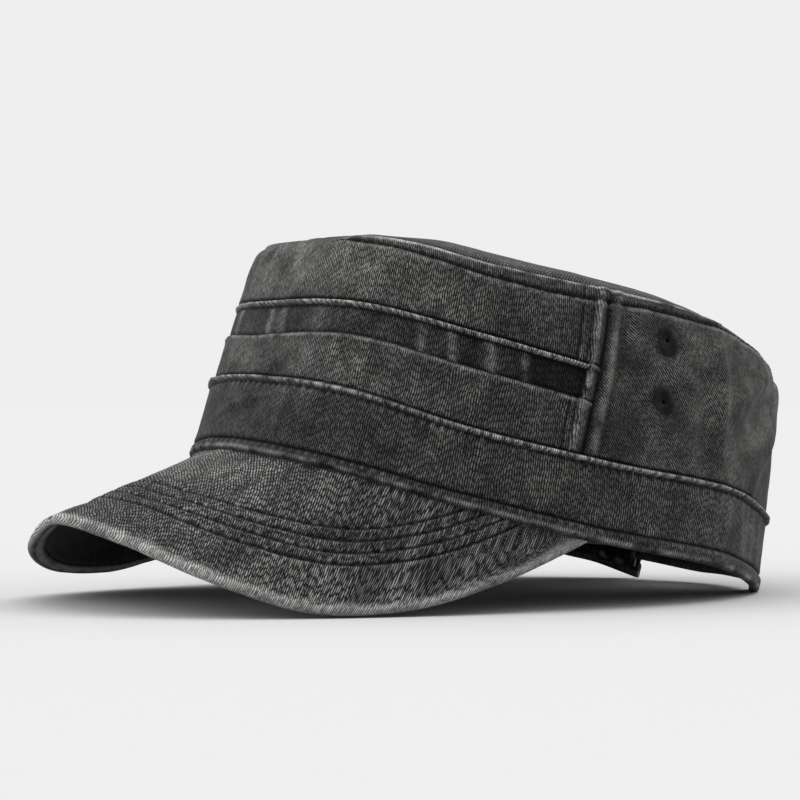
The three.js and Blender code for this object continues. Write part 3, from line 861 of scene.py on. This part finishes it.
def solid(colour):
    return (*colour, 1)
def twill(name, light, pale, turn, pitch=WARP_PITCH, float_length=FLOAT_LENGTH, loose=0.3, broken=0.7,
          sheen=0.03, blotch=(0.62, 1.38)):
    """Washed twill: rows of short pale dashes, with mottles, worn places, and painted shade in grooves,
    joints and dents from the shade attribute
    """
    g = Graph(name)
    cloth = g.attribute("cloth", "Vector")
    moved = g.node("ShaderNodeVectorMath", operation="MULTIPLY_ADD")
    g.put(moved.inputs[0], g.noise(cloth, 0.16, 1, output="Color"))
    g.put(moved.inputs[1], (1.6, 1.6, 0))
    g.put(moved.inputs[2], cloth)
    turned = g.mapped(moved.outputs[0], turn)
    across = g.node("ShaderNodeSeparateXYZ")
    g.put(across.inputs[0], turned)
    column = g.math("DIVIDE", across.outputs["X"], pitch)
    number = g.math("FLOOR", column)
    start = g.node("ShaderNodeTexWhiteNoise", noise_dimensions="1D")
    g.put(start.inputs["W"], number)
    own_start = g.math("MULTIPLY", start.outputs["Value"], loose)
    shift = g.math("ADD", g.math("MULTIPLY", number, 0.36), own_start)
    step = g.math("ADD", g.math("DIVIDE", across.outputs["Y"], float_length), shift)
    thread_round = g.math("ABSOLUTE", g.math("SINE", g.math("MULTIPLY", column, math.pi)))
    dash = g.math("ABSOLUTE", g.math("SINE", g.math("MULTIPLY", step, math.pi)))
    cell = g.node("ShaderNodeCombineXYZ")
    g.put(cell.inputs["X"], number)
    g.put(cell.inputs["Y"], g.math("FLOOR", step))
    chance = g.node("ShaderNodeTexWhiteNoise", noise_dimensions="2D")
    g.put(chance.inputs["Vector"], cell.outputs[0])
    uneven = g.noise(g.mapped(turned, 0, (1 / 0.3, 1 / 0.55, 1)), 1.0, 1, 0.5)
    bright = g.math("MULTIPLY", dash, g.ramp(chance.outputs["Value"], 0, 1, 0.3, 1.0))
    lit = g.math("MULTIPLY", thread_round, g.math("MULTIPLY_ADD", bright, broken, 1 - broken))
    weave = g.math("ADD", g.math("MULTIPLY", lit, 0.9), g.math("MULTIPLY", uneven, 0.75))
    fleck = g.ramp(weave, 0.65, 1.11)
    softened = g.mix(g.attribute("blur"), fleck, 0.27, "FLOAT")
    mottle = g.ramp(g.noise(g.mapped(cloth, 0.3, (1, 0.8, 1)), 1 / 12, 3, 0.6), 0.3, 0.7, *blotch)
    cloudy = g.ramp(g.noise(cloth, 1 / 3.2, 2, 0.55), 0.3, 0.7, 0.8, 1.2)
    # The shade attribute darkens the tone: painted shade, and painted light where the wall is lighter
    tone = g.math("MULTIPLY", g.math("MULTIPLY", mottle, cloudy), g.attribute("shade"))
    toned = g.node("ShaderNodeVectorMath", operation="SCALE")
    g.put(toned.inputs[0], g.mix(softened, solid(DEEP), solid(light)))
    g.put(toned.inputs["Scale"], tone)
    worn = g.math("MULTIPLY", g.attribute("wear"), g.ramp(weave, 0.5, 1.02, 0.18, 0.85), clamp=True)
    height = g.math("ADD", g.math("MULTIPLY", softened, 0.8), g.math("MULTIPLY", cloudy, 0.4))
    return g.finish({
        "Base Color": g.mix(worn, toned.outputs[0], solid(pale)),
        "Roughness": g.ramp(fleck, 0, 1, 0.98, 0.82),
        "Sheen Weight": sheen,
        "Sheen Roughness": 0.45,
        "Specular IOR Level": 0.12,
        "Normal": g.bump(height, 0.00018, 0.9),
    })


def thread(name, dark, light):
    """Matt sewing thread, of fine strands and lighter patches"""
    g = Graph(name)
    place = g.node("ShaderNodeTexCoord").outputs["Object"]
    strands = g.noise(place, 2600, 2, 0.6)
    patches = g.noise(place, 300, 2, 0.5)
    colour = g.mix(g.ramp(strands, 0.35, 0.65), solid(dark), solid(light))
    lighter = [channel * 1.6 for channel in light]
    return g.finish({
        "Base Color": g.mix(g.ramp(patches, 0.4, 0.7, 0, 0.5), colour, solid(lighter)),
        "Roughness": g.ramp(strands, 0.3, 0.7, 0.9, 0.6),
        "Specular IOR Level": 0.15,
        "Normal": g.bump(strands, 0.00012, 0.8),
    })


def slide_metal():
    """Dark coated metal, rubbed brighter in patches"""
    g = Graph("slide_metal")
    place = g.node("ShaderNodeTexCoord").outputs["Object"]
    grain = g.noise(g.mapped(place, 0, (1, 1, 8)), 900, 3, 0.6)
    rubbed = g.ramp(g.noise(place, 260, 3, 0.55), 0.48, 0.68)
    return g.finish({
        "Base Color": g.mix(rubbed, solid((0.02, 0.019, 0.017)), solid((0.16, 0.15, 0.135))),
        "Metallic": 1.0,
        "Roughness": g.ramp(grain, 0.3, 0.7, 0.32, 0.55),
        "Normal": g.bump(grain, 0.00003, 0.5),
    })


TWILL = twill("washed_twill", (0.094, 0.0932, 0.0904), (0.45, 0.45, 0.44), math.radians(2), pitch=0.74,
              float_length=2.3, loose=1.0, broken=0.5)
REAR_TWILL = twill("washed_twill_rear", (0.077, 0.0765, 0.0735), (0.4, 0.4, 0.39), math.radians(-36),
                   pitch=0.7, float_length=2.2, loose=1.0, broken=0.45, blotch=(0.5, 1.5))
TOP_TWILL = twill("washed_twill_bias", (0.06, 0.06, 0.058), (0.25, 0.25, 0.24), math.radians(-50),
                  pitch=0.9, float_length=3.5, loose=1.0, broken=0.4)
PEAK_TWILL = twill("washed_twill_peak", (0.136, 0.136, 0.132), (0.45, 0.45, 0.44), math.radians(-14),
                   pitch=0.72, float_length=1.6, loose=1.0, broken=0.6)
# Near-black twill under the peak: painted shade
UNDER_TWILL_PAINTED_SHADE = twill("dark_twill", (0.02, 0.02, 0.02), (0.08, 0.08, 0.08), math.radians(30), sheen=0.01)
THREAD = thread("dark_thread", (0.002, 0.002, 0.002), (0.0085, 0.0085, 0.0081))
METAL = slide_metal()


# The crown's wall

def moved(line, by):
    """The same line, moved by a distance"""
    return lambda place: line(place) + by


def eyelet_places(side):
    """The angle and height of a side's two eyelets"""
    for height in (UPPER_EYELET_HEIGHT, LOWER_EYELET_HEIGHT):
        around = side * EYELET_ANGLE
        line = HEM_SWEEP * float(level("hem_line", around))
        yield around, line + height


def make_front():
    """The front, from side seam to side seam: upper panel, inset strip and lower panel"""
    seam = moved(seam_angle, -0.1)
    ends = (lambda height: -seam(height), seam)
    at_seams = ((0, 13, 0.4), (250, 265, 0.4))
    wall_piece("front_panel_upper", ends, (moved(strip_head, HALF_GAP), crest), (264, 23), upper_look,
               TWILL, fine_rows=((0, 1.6, 0.25), (17, 23, 0.3)),
               fine_columns=at_seams, seed=0)
    wall_piece("front_strip", ends, (moved(strip_foot, HALF_GAP), moved(strip_head, -HALF_GAP)), (264, 11),
               strip_look, TWILL, inset=0.7, fine_rows=((0, 1, 0.25), (8, 11, 0.2)),
               fine_columns=at_seams, seed=37, row_step=0.5, lap=LAP_BEHIND_JOINT)
    wall_piece("front_panel_lower", ends, (moved(band_top, HALF_GAP), moved(strip_foot, -HALF_GAP)),
               (264, 17), lower_look, TWILL,
               fine_rows=((0, 1.6, 0.25), (15.4, 17, 0.25)), fine_columns=at_seams, seed=11,
               lap=LAP_BEHIND_JOINT)


def make_rear():
    """The two rear panels, from the side seams to the arched opening"""
    seam = moved(seam_angle, 0.1)
    left = (seam, arch_angle)
    right = (lambda height: 360 - arch_angle(height), lambda height: 360 - seam(height))
    for name, side, ends, fine in (
        ("rear_panel_left", 1, left, ((0, 6, 0.4), (100, 118, 0.5))),
        ("rear_panel_right", -1, right, ((0, 18, 0.5), (112, 118, 0.4))),
    ):
        holes = []
        for around, height in eyelet_places(side):
            centre = at_rest(crown_face(np.array(around), np.array(height)))
            holes.append((centre, EYELET_HOLE / 1000))
        wall_piece(name, ends, (moved(band_top, HALF_GAP), crest), (118, 50),
                   lambda p, side=side: rear_look(p, side), REAR_TWILL,
                   fine_rows=((0, 1.6, 0.25), (44.5, 50, 0.3)), fine_columns=fine, seed=side * 23,
                   holes=holes)


def make_band():
    """The folded band and the hem under it, open at the arch"""
    ends = (lambda height: -arch_angle(height), arch_angle)
    wall_piece("band", ends, (moved(hem_top, HALF_GAP), moved(band_top, -HALF_GAP)), (490, 20.5),
               band_look, TWILL, fine_rows=((0, 1.2, 0.3), (16, 20.5, 0.25)), seed=5,
               lap=LAP_BEHIND_JOINT)
    wall_piece("hem", ends, (hem_line, moved(hem_top, -HALF_GAP)), (490, 4.3), hem_look,
               TWILL, fine_rows=((0, 4.3, 0.3),), seed=17, lap=LAP_BEHIND_JOINT,
               tuck=TUCK_BEHIND_PEAK)


def closed(rows):
    """Rows round the head, with the first one once more at the end"""
    return np.concatenate([rows, rows[:1]])


def make_top():
    """The oval top, over a low dome, sewn down just inside its edge"""
    around = np.arange(0, 360, 0.5)[:, None]
    edge = crown_face(around[:, 0], top_edge(around[:, 0]))
    middle = edge.mean(0)
    size = np.linalg.norm(edge - middle, axis=1)[:, None]
    sewn = np.maximum(2.0, edge_roll(around) - 0.4)
    nearly_middle = 0.9995 * size

    def inset_at(share):
        return sewn + (nearly_middle - sewn) * share

    def placed(ring, lift):
        points = middle + (edge[:, None] - middle) * ring[..., None]
        points[..., 2] += lift
        return at_rest(closed(points))

    inset = inset_at(np.concatenate([np.linspace(0, 0.1, 26), np.linspace(0.115, 1, 74)])[None, :])
    ring = 1 - inset / size
    x = edge[:, None, 0] * ring
    y = edge[:, None, 1] * ring
    tucked = inset - (1.1 + edge_roll(around))
    out = layered(x, y, ((0.5, 30, 30, 101), (0.3, 13, 13, 102), (0.1, 5, 5, 103)))
    out = out * smooth_step(tucked, 1, 14) - 0.9 - 0.5 * hump(tucked, 4.2, 0.6) + 0.5 * hump(tucked, 2.4, 1.4)
    fall = 2.4 + 1.3 * soft_front(around) - crest(around) + top_edge(around)
    out = out - fall * (1 - smooth_step(tucked, 0, 9))
    out = out + 0.1 * puckers(np.radians(around) * size, 3.2, 104) * hump(tucked, 3.4, 1.6)
    outer = placed(ring, 0.15 + CLOTH + TOP_DOME * (1 - ring * ring) + out)
    inner_ring = 1 - inset_at(np.linspace(0, 1, 8)[None, :]) / size
    at_margin = inner_ring == inner_ring[:, :1]
    inner = placed(inner_ring, TOP_DOME * (1 - inner_ring * inner_ring) - 1.2 - 2.4 * at_margin)
    wear = 0.3 * patchy(x, y, 5, 106) * hump(tucked, 2.6, 0.9)
    # Painted shade where the top tucks in under the crest and in the groove 4.2 mm in; the top is also darker
    # towards its edge
    shade = (1 - 0.95 * hump(np.maximum(tucked, 0), 0, 1.0)) * (1 - 0.6 * hump(tucked, 4.2, 0.5))
    shade = shade * (0.6 + 0.3 * smooth_step(tucked, 2, 12))
    values = {
        "cloth": closed(np.stack([x, y, 0 * x + 61], -1)),
        "wear": closed(wear),
        "shade": closed(shade),
    }
    sheet_object("crown_top", outer, inner, values, TOP_TWILL, ("crown_top",))


# The peak

def peak_ends(turn):
    """The peak's seam and outer edge at a turn, in the upright frame"""
    around = turn / 90 * PEAK_SPREAD_ANGLE
    seam = crown_point(around, hem_line(around) - 0.3, 0 * turn - CLOTH / 2)
    tip = crown_face(np.array(float(PEAK_SPREAD_ANGLE)), hem_line(PEAK_SPREAD_ANGLE))
    front = crown_face(np.array(0.0), hem_line(0))
    reach = tip[1] - front[1] + PEAK_LENGTH
    share = {key: along(values, turn, 15, key == "across") for key, values in PEAK_EDGE.items()}
    rest_tip = tilted(tip)[2] + REST_LIFT
    rise = np.where(turn < 0, share["right_rise"], share["rise"])
    floor_height = rise * PEAK_RISE + share["follow"] * rest_tip
    flat = np.stack([tip[0] * share["across"], tip[1] - reach * share["reach"], 0 * turn], -1)
    nose = hump(turn, -20, 24)
    flat = flat + np.stack([-0.5 * nose, -0.866 * nose, 0 * nose], -1) * PEAK_NOSE
    edge = tilted(flat)
    edge[..., 2] = floor_height + PEAK_NOSE_LIFT * nose - REST_LIFT
    return seam, tilted(edge, -REST_TILT)


def peak_normal(turn):
    """Which way the peak's upper face looks, at its seam and at its outer edge"""
    inside = np.clip(turn, -84, 84)
    seam_a, edge_a = peak_ends(inside + 0.5)
    seam_b, edge_b = peak_ends(inside - 0.5)
    seam, edge = peak_ends(inside)
    outward = edge - seam
    return -unit(np.cross(seam_a - seam_b, outward)), -unit(np.cross(edge_a - edge_b, outward))


def peak_place(turn, inward, depth):
    """A point of the peak at a distance in from its outer edge and a depth below its upper face"""
    seam, edge = peak_ends(turn)
    seam_normal, edge_normal = peak_normal(turn)
    span = np.linalg.norm(edge - seam, axis=-1)
    out = 1 - np.clip(inward / np.maximum(span, 1e-6), None, 1)
    normal = unit(seam_normal * (1 - out[..., None]) + edge_normal * out[..., None])
    return seam + (edge - seam) * out[..., None] - normal * np.asarray(depth)[..., None]


def peak_span(turn):
    seam, edge = peak_ends(turn)
    return np.linalg.norm(edge - seam, axis=-1)


def peak_arc():
    """The distance along the peak's edge at each turn"""
    turn = np.linspace(-88, 88, 705)
    edge = peak_ends(turn)[1]
    run = np.concatenate([[0], np.cumsum(np.linalg.norm(np.diff(edge, axis=0), axis=1))])
    return turn, run - run[-1] / 2


PEAK_TURNS, PEAK_RUNS = peak_arc()


def peak_form(run, inward):
    """How far the peak's upper cloth stands above its true face"""
    out = layered(run, inward, ((0.5, 24, 14, 111), (0.22, 9, 8, 112), (0.08, 4, 4, 113)))
    out = out * smooth_step(inward, 0.5, 6)
    for number, row in enumerate(PEAK_STITCH_ROWS):
        out = out + stitched(inward - row, run, 120 + number, pitch=3.9, depth=0.6, reach=1.9)
    first, last = PEAK_STITCH_ROWS[0], PEAK_STITCH_ROWS[-1]
    quilt = smooth_step(inward, first, first + 1) * (1 - smooth_step(inward, last - 1, last))
    return out + 0.22 * quilt


def peak_cloth(points):
    """Where the weave lies over the peak: how far forward, and how far round its bend"""
    place = points * 1000
    step = np.diff(place, axis=0)
    bend = np.hypot(step[..., 0], step[..., 2])
    bend = np.concatenate([np.zeros_like(bend[:1]), np.cumsum(bend, axis=0)])
    bend = bend - bend[len(bend) // 2]
    return np.stack([place[..., 1] - 0.6 * place[..., 2], bend, 0 * bend + 83], -1)


def peak_wear(x, inward, at_edge):
    """Pale wear along the peak's rim and beside its rows of stitches"""
    wear = 0.8 * at_edge * (0.4 + 0.6 * patchy(x, inward * 2, 9, 131))
    for row in PEAK_STITCH_ROWS:
        flecks = smooth_step(noise(x / 1.7, 0 * x + row, 133 + int(row)), 0.35, 0.75)
        wear = wear + 0.45 * flecks * hump(inward, row + 0.8, 0.4)
        wear = wear + 0.15 * patchy(x, inward, 2, 140) * hump(inward, row - 1, 0.5)
    return wear


def peak_shade(inward):
    """Painted shade: dark lines along the peak's rows of stitches"""
    shade = np.ones_like(inward)
    for row in PEAK_STITCH_ROWS:
        shade = shade * (1 - 0.96 * hump(inward, row, 0.62))
    return shade


def make_peak():
    """The peak's upper cloth, rolled round its outer edge to a narrow lip below"""
    turn = np.interp(np.linspace(PEAK_RUNS[0], PEAK_RUNS[-1], 460), PEAK_RUNS, PEAK_TURNS)[:, None]
    run = np.interp(turn, PEAK_TURNS, PEAK_RUNS)
    span = peak_span(turn)
    radius = PEAK_THICKNESS / 2
    size = np.clip(span / 9, 0.15, 1)
    inner_edge = radius * size
    flat = inner_edge + (span - inner_edge) * (1 - shares(PEAK_LENGTH, 0.42)[None, :])
    flat_rows = flat.shape[1]
    angle = np.radians(np.linspace(90, -90, 15)[None, 1:])
    round_inward = inner_edge * (1 - np.cos(angle))
    round_depth = radius * (1 - np.sin(angle)) + 0 * turn
    lip_rows = 8
    lip_inward = inner_edge + np.linspace(0.05, 1, lip_rows)[None, :] * PEAK_BINDING * size
    lip_depth = 0 * lip_inward + PEAK_THICKNESS
    inward = np.concatenate([flat, round_inward, lip_inward], 1)
    depth = np.concatenate([0 * flat, round_depth, lip_depth], 1)
    x = run + 0 * inward
    form = peak_form(run, inward)
    form[:, flat_rows:] = 0.12 * noise(x[:, flat_rows:] / 5, depth[:, flat_rows:] / 2, 130)
    form[:, :flat_rows] *= smooth_step(flat, 1.5, 4)
    outer = at_rest(peak_place(turn + 0 * inward, inward, depth - form))
    lip_end = inner_edge + PEAK_BINDING * size
    inner_inward = lip_end + (span - lip_end) * np.linspace(1, 0, 9)[None, :]
    inner = at_rest(peak_place(turn + 0 * inner_inward, inner_inward, 0 * inner_inward + 1.8))
    at_edge = np.zeros_like(inward)
    at_edge[:, flat_rows:] = smooth_step(PEAK_THICKNESS - depth[:, flat_rows:], 0.1, 1.2)
    at_edge[:, :flat_rows] = hump(flat, radius, 1.6)
    at_edge[:, -lip_rows:] = 0.85
    binding = PEAK_BINDING * size
    under = smooth_step(lip_inward - inner_edge, 0.4 * binding, 0.95 * binding)
    wear = peak_wear(x, inward, at_edge)
    wear[:, -lip_rows:] *= 1 - under
    shade = peak_shade(inward)
    # Painted shade on the lip as it turns under the peak
    shade[:, -lip_rows:] = 1 - 0.8 * under
    # Tone that differs at random, and painted shade where the peak meets the hem
    shade = shade * (0.8 + 0.4 * patchy(x, inward, 16, 136)) * (1 - 0.35 * hump(span - inward, 0, 0.8))
    # Painted light: the peak lighter near the crown, round its middle; it is also darker over its rows of
    # stitches
    painted_light_near_seam = 0.5 * hump(run, -20, 60) * smooth_step(inward, 30, 40)
    values = {
        "cloth": peak_cloth(outer),
        "wear": np.clip(wear, 0, 1),
        "shade": shade * (1 - 0.28 * hump(inward, 24, 11) + painted_light_near_seam),
        "blur": 0.45 * smooth_step(inward, 30, 38) * hump(run, -30, 60),
    }
    sheet_object("peak_upper", outer, inner, values, PEAK_TWILL, ("peak_upper",))
    make_underside(turn, run, span, inner_edge, size)


def make_underside(turn, run, span, inner_edge, size):
    """The cloth under the peak, sewn in behind the rolled edge, near black as painted shade, with more
    painted shade at its join with the lip
    """
    start = inner_edge + (PEAK_BINDING + 0.3) * size
    inward = start + (span - start) * (1 - np.linspace(0, 1, 60)[None, :])
    inset = inward - start
    form = 0.3 * noise(run / 16, inward / 12, 141) - 0.6 * hump(inset, 0, 0.7)
    turns = turn + 0 * inward
    outer = at_rest(peak_place(turns, inward, 0 * inward + 2.05))
    inner = at_rest(peak_place(turns, inward, PEAK_THICKNESS + form * smooth_step(inset, 0, 3)))
    values = {
        "cloth": np.stack([run + 0 * inward, inward, 0 * inward + 97], -1),
        "wear": 0.15 * hump(inset, 1, 0.8),
        "shade": 1 - 0.3 * hump(inset, 0, 1),
    }
    sheet_object("peak_underside", outer, inner, values, UNDER_TWILL_PAINTED_SHADE, ("peak_underside",))


# Stitches, eyelets, strap and slide

class Sewing:
    """Lines of stitches gathered into one mesh"""

    def __init__(self):
        self.points = []
        self.faces = []
        self.count = 0

    def run(self, points, normals, pitch, length, radius, seed):
        """Stitches laid along a line of points, each a short plump thread that dips at its ends"""
        chance = np.random.default_rng(seed)
        travelled = np.concatenate([[0], np.cumsum(np.linalg.norm(np.diff(points, axis=0), axis=1))])
        middles = np.arange(pitch / 2, travelled[-1] - pitch / 2, pitch)
        middles = middles + chance.uniform(-0.08, 0.08, len(middles)) * pitch

        def at(distance, rows):
            return np.stack([np.interp(distance, travelled, rows[:, k]) for k in range(3)], -1)

        sides, rings = 6, 7
        along_share = np.linspace(-1, 1, rings)
        thick = np.sqrt(np.clip(1 - along_share ** 4, 0.02, 1))
        dip = -1.1 * radius * along_share ** 4
        angle = np.arange(sides) * 2 * math.pi / sides
        for middle in middles:
            half = length / 2 * chance.uniform(0.9, 1.08)
            centre = at(middle + along_share * half, points)
            normal = unit(at(middle + along_share * half, normals))
            forward = unit(np.gradient(centre, axis=0))
            side = unit(np.cross(forward, normal))
            lean = chance.uniform(-0.12, 0.12) * radius
            rim = np.cos(angle)[None, :, None] * side[:, None]
            rim = rim + 0.8 * np.sin(angle)[None, :, None] * normal[:, None]
            ring = centre[:, None] + (side * lean * along_share[:, None])[:, None] * 3
            ring = ring + normal[:, None] * dip[:, None, None] + radius * thick[:, None, None] * rim
            base = self.count
            self.points.append(ring.reshape(-1, 3))
            for i in range(rings - 1):
                near, far = base + i * sides, base + (i + 1) * sides
                for j in range(sides):
                    k = (j + 1) % sides
                    self.faces.append([near + j, near + k, far + k, far + j])
            self.faces.append([base + j for j in range(sides)][::-1])
            self.faces.append([base + (rings - 1) * sides + j for j in range(sides)])
            self.count += rings * sides

    def lay(self, place, out, pitch, length, radius, seed):
        """Stitches on a line of cloth, whose points a function gives at a distance out of it"""
        points = at_rest(place(out))
        ahead = at_rest(place(out + 1))
        self.run(points * 1000, unit(ahead - points), pitch, length, radius, seed)

    def wall(self, around, height, out, pitch=3.1, length=2.3, radius=0.22, seed=0):
        """Stitches on the crown's wall"""
        out = out + soft_form(around, height - hem_line(around))
        self.lay(lambda raised: crown_point(around, height, raised), out, pitch, length, radius, seed)

    def finish(self, name):
        points = np.concatenate(self.points) / 1000
        return mesh_object(name, points, self.faces, {}, THREAD)


def sew_crown():
    """The stitches of the turned top edge and of the two side seams"""
    sewing = Sewing()
    for low, high, seed in ((-84, 84, 1), (90, 164, 2), (196, 270, 3)):
        around = np.linspace(low, high, 600)
        stitch = stitch_drop(around)
        sunk = rolled(stitch, edge_roll(around))
        sewing.wall(around, crest(around) - stitch, 0.05 - sunk, pitch=2.9, seed=seed)
    for side in (-1, 1):
        height = np.linspace(float(band_top(80)) + 1.5, float(top_edge(88)) - 5.5, 300)
        line = seam_angle(height) - 0.1 - seam_stitch(height - hem_line(80)) / ARC
        for keep in (height < strip_foot(line) - 0.6, height > strip_head(line) + 0.8):
            sewing.wall(side * line[keep], height[keep], -0.1 + 0 * line[keep], seed=7 + side)
    sewing.finish("crown_stitches")


def sew_band():
    """The stitches under the band's bead"""
    sewing = Sewing()
    around = np.linspace(-155, 155, 1800)
    height = band_top(around) - HALF_GAP - BEAD - 0.75
    sewing.wall(around, height, 0.02 + 0 * around, pitch=2.9, length=2.2, radius=0.24, seed=11)
    sewing.finish("band_stitches")


def sew_peak():
    """The rows of stitches that follow the peak's outer edge"""
    sewing = Sewing()
    for number, row in enumerate(PEAK_STITCH_ROWS):
        turn = np.linspace(-86, 86, 1400)
        turn = turn[peak_span(turn) > row + 0.8]
        inward = row + 0 * turn
        form = peak_form(np.interp(turn, PEAK_TURNS, PEAK_RUNS), inward)
        sewing.lay(lambda out: peak_place(turn, inward, -out), form + 0.14, 3.9, 3.2, 0.33, 21 + number)
    sewing.finish("peak_stitches")


# An eyelet's profile: how far from its middle, and how far out of the cloth
EYELET_REACH = np.array([0.55, 0.8, 1.2, 1.9, 2.7, 3.4, 4.0, 4.5, 4.85])
EYELET_LIFT = np.array([-1.4, -0.3, 0.15, 0.32, 0.38, 0.38, 0.3, 0.05, -0.45])


def make_eyelet(name, around, height, side):
    """A worked eyelet: a ring of thread laid out from a small hole"""
    chance = np.random.default_rng(int(height) + side)
    around, level_up = np.array(float(around)), np.array(height)
    out = float(soft_form(around, height - hem_line(around))) - 0.3
    origin = crown_point(around, level_up, np.array(out))
    normal = crown_normal(around, level_up)
    across = unit(np.cross(np.array([0, 0, 1.0]), normal))
    up = np.cross(normal, across)
    angle = np.radians(np.arange(0, 360, 1.25))[:, None]
    strand = np.abs(np.sin(angle * 27 + chance.uniform(0, 6)))
    jitter = 0.16 * noise(np.degrees(angle) / 9, 0 * angle, int(height) + 7)
    radius = EYELET_REACH[None, :] + jitter * smooth_step(EYELET_REACH, 3, 4.6)[None, :]
    lift = EYELET_LIFT[None, :] + 0.26 * (strand - 0.5) * smooth_step(EYELET_REACH, 1, 1.6)[None, :]
    radius = radius * (1 + 0.04 * np.cos(2 * angle + 1))
    points = origin + (radius * np.cos(angle))[..., None] * across
    points = points + (radius * np.sin(angle))[..., None] * up * 1.08 + lift[..., None] * normal
    columns, rows = points.shape[:2]
    faces = []
    for i in range(columns):
        here, there = i * rows, (i + 1) % columns * rows
        for j in range(rows - 1):
            faces.append([here + j, here + j + 1, there + j + 1, there + j])
    mesh_object(name, at_rest(points), faces, {}, THREAD, (name,))


def make_eyelets():
    for side, label in ((1, "left"), (-1, "right")):
        for (around, height), which in zip(eyelet_places(side), ("upper", "lower")):
            make_eyelet(f"eyelet_{label}_{which}", around, height, side)


def strap_line(around):
    """The foot of the strap, which rises a little towards the wearer's right"""
    rise = smooth_step(around, 180, 180 + STRAP_REACH)
    return HEM_SWEEP * level("hem_line", around) + STRAP_LIFT + STRAP_RIGHT_RISE * rise


def strap_look(p):
    """The strap, with a line of stitches along each edge and painted shade in their grooves"""
    x, foot = p["x"], p["from_foot"]
    side = np.minimum(p["from_head"], foot)
    out = 0.25 * noise(x / 9, foot / 8, 151) - rolled(side, 0.7)
    out = out + stitched(side - STRAP_STITCH, x, 152, depth=0.25)
    wear = 0.5 * patchy(x, foot, 5, 153) * hump(side, 0.6, 0.6)
    # Painted shade in the stitch grooves
    return out, wear, 0.95 - 0.6 * hump(side, STRAP_STITCH, 0.4)


def make_strap():
    """The strap across the arched opening, and its stitches"""
    ends = (lambda height: 180 - STRAP_REACH + 0 * height, lambda height: 180 + STRAP_REACH + 0 * height)
    levels = (moved(strap_line, 0.6), moved(strap_line, STRAP_WIDTH))
    wall_piece("back_strap", ends, levels, (102, STRAP_WIDTH), strap_look, TWILL,
               inset=STRAP_INSET, fine_rows=((0, 3.4, 0.3), (14.6, 18, 0.3)), seed=71)
    sewing = Sewing()
    around = np.linspace(181 - STRAP_REACH, 179 + STRAP_REACH, 300)
    for up in (STRAP_STITCH, STRAP_WIDTH - STRAP_STITCH):
        height = strap_line(around) + up
        sewing.lay(lambda out: crown_point(around, height, out), 0 * around - STRAP_INSET, 3.0, 2.4, 0.25, 31)
    sewing.finish("strap_stitches")


def dress_slide():
    """The slide keeps its solid, with softened corners"""
    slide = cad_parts["strap_buckle"]
    slide.data.materials.clear()
    slide.data.materials.append(METAL)
    bevel = slide.modifiers.new("softened", "BEVEL")
    bevel.width = 0.0004
    bevel.segments = 3
    bevel.limit_method = "ANGLE"


# Studio

FLOOR_TONE = 0.376
FLOOR_HALF_SIZE = 40
BACKGROUND = 0.86

# Soft lights: azimuth, elevation, strength, angle
SUNS = (
    (215, 76, 2.5, 75),
    (-10, 32, 2.3, 60),
    (165, 32, 1.7, 60),
)

CAMERA_AZIMUTH = 60
CAMERA_PLACE = (0.8043, -0.4721, 0.0644)
CAMERA_LENS = 127.0


def make_floor():
    """A plain pale floor, very slightly mottled"""
    mesh = bpy.data.meshes.new("floor")
    size = FLOOR_HALF_SIZE
    corners = [(-size, -size, 0), (size, -size, 0), (size, size, 0), (-size, size, 0)]
    mesh.from_pydata(corners, [], [(0, 1, 2, 3)])
    g = Graph("floor")
    speck = g.noise(g.node("ShaderNodeTexCoord").outputs["Object"], 120, 2, 0.5)
    darker = solid((FLOOR_TONE * 0.995,) * 3)
    lighter = solid((FLOOR_TONE * 1.005,) * 3)
    surface = {"Base Color": g.mix(speck, darker, lighter), "Roughness": 0.95, "Specular IOR Level": 0.0}
    mesh.materials.append(g.finish(surface))
    link(bpy.data.objects.new("floor", mesh))


def towards(azimuth, elevation):
    """The direction from the cap to a place round it"""
    a, e = math.radians(azimuth), math.radians(elevation)
    return Vector((math.sin(a) * math.cos(e), -math.cos(a) * math.cos(e), math.sin(e)))


def aim(thing, azimuth, elevation):
    """Turns a light or camera to look at the cap from a place round it"""
    thing.rotation_mode = "QUATERNION"
    thing.rotation_quaternion = towards(azimuth, elevation).to_track_quat("Z", "Y")


def make_lights():
    """Three soft suns and a plain pale world"""
    scene = bpy.context.scene
    for number, (azimuth, elevation, strength, angle) in enumerate(SUNS):
        light = bpy.data.lights.new(f"soft_light_{number}", "SUN")
        light.energy = strength
        light.angle = math.radians(angle)
        lamp = link(bpy.data.objects.new(light.name, light))
        aim(lamp, azimuth, elevation)
        lamp.location = towards(azimuth, elevation) * 3
    world = bpy.data.worlds.new("studio")
    world.use_nodes = True
    background = world.node_tree.nodes["Background"]
    background.inputs["Color"].default_value = solid((BACKGROUND,) * 3)
    background.inputs["Strength"].default_value = 1
    scene.world = world
    scene.view_settings.view_transform = "Standard"
    scene.view_settings.look = "None"


def make_camera():
    data = bpy.data.cameras.new("camera")
    data.sensor_width = 36
    data.lens = CAMERA_LENS
    data.clip_start = 0.05
    data.clip_end = 200
    camera = link(bpy.data.objects.new("camera", data))
    camera.location = CAMERA_PLACE
    aim(camera, CAMERA_AZIMUTH, 0)
    bpy.context.scene.camera = camera


make_camera()
make_front()
make_rear()
make_band()
make_top()
make_peak()
sew_crown()
sew_band()
sew_peak()
make_eyelets()
make_strap()
dress_slide()
make_floor()
make_lights()

bpy.context.view_layer.update()
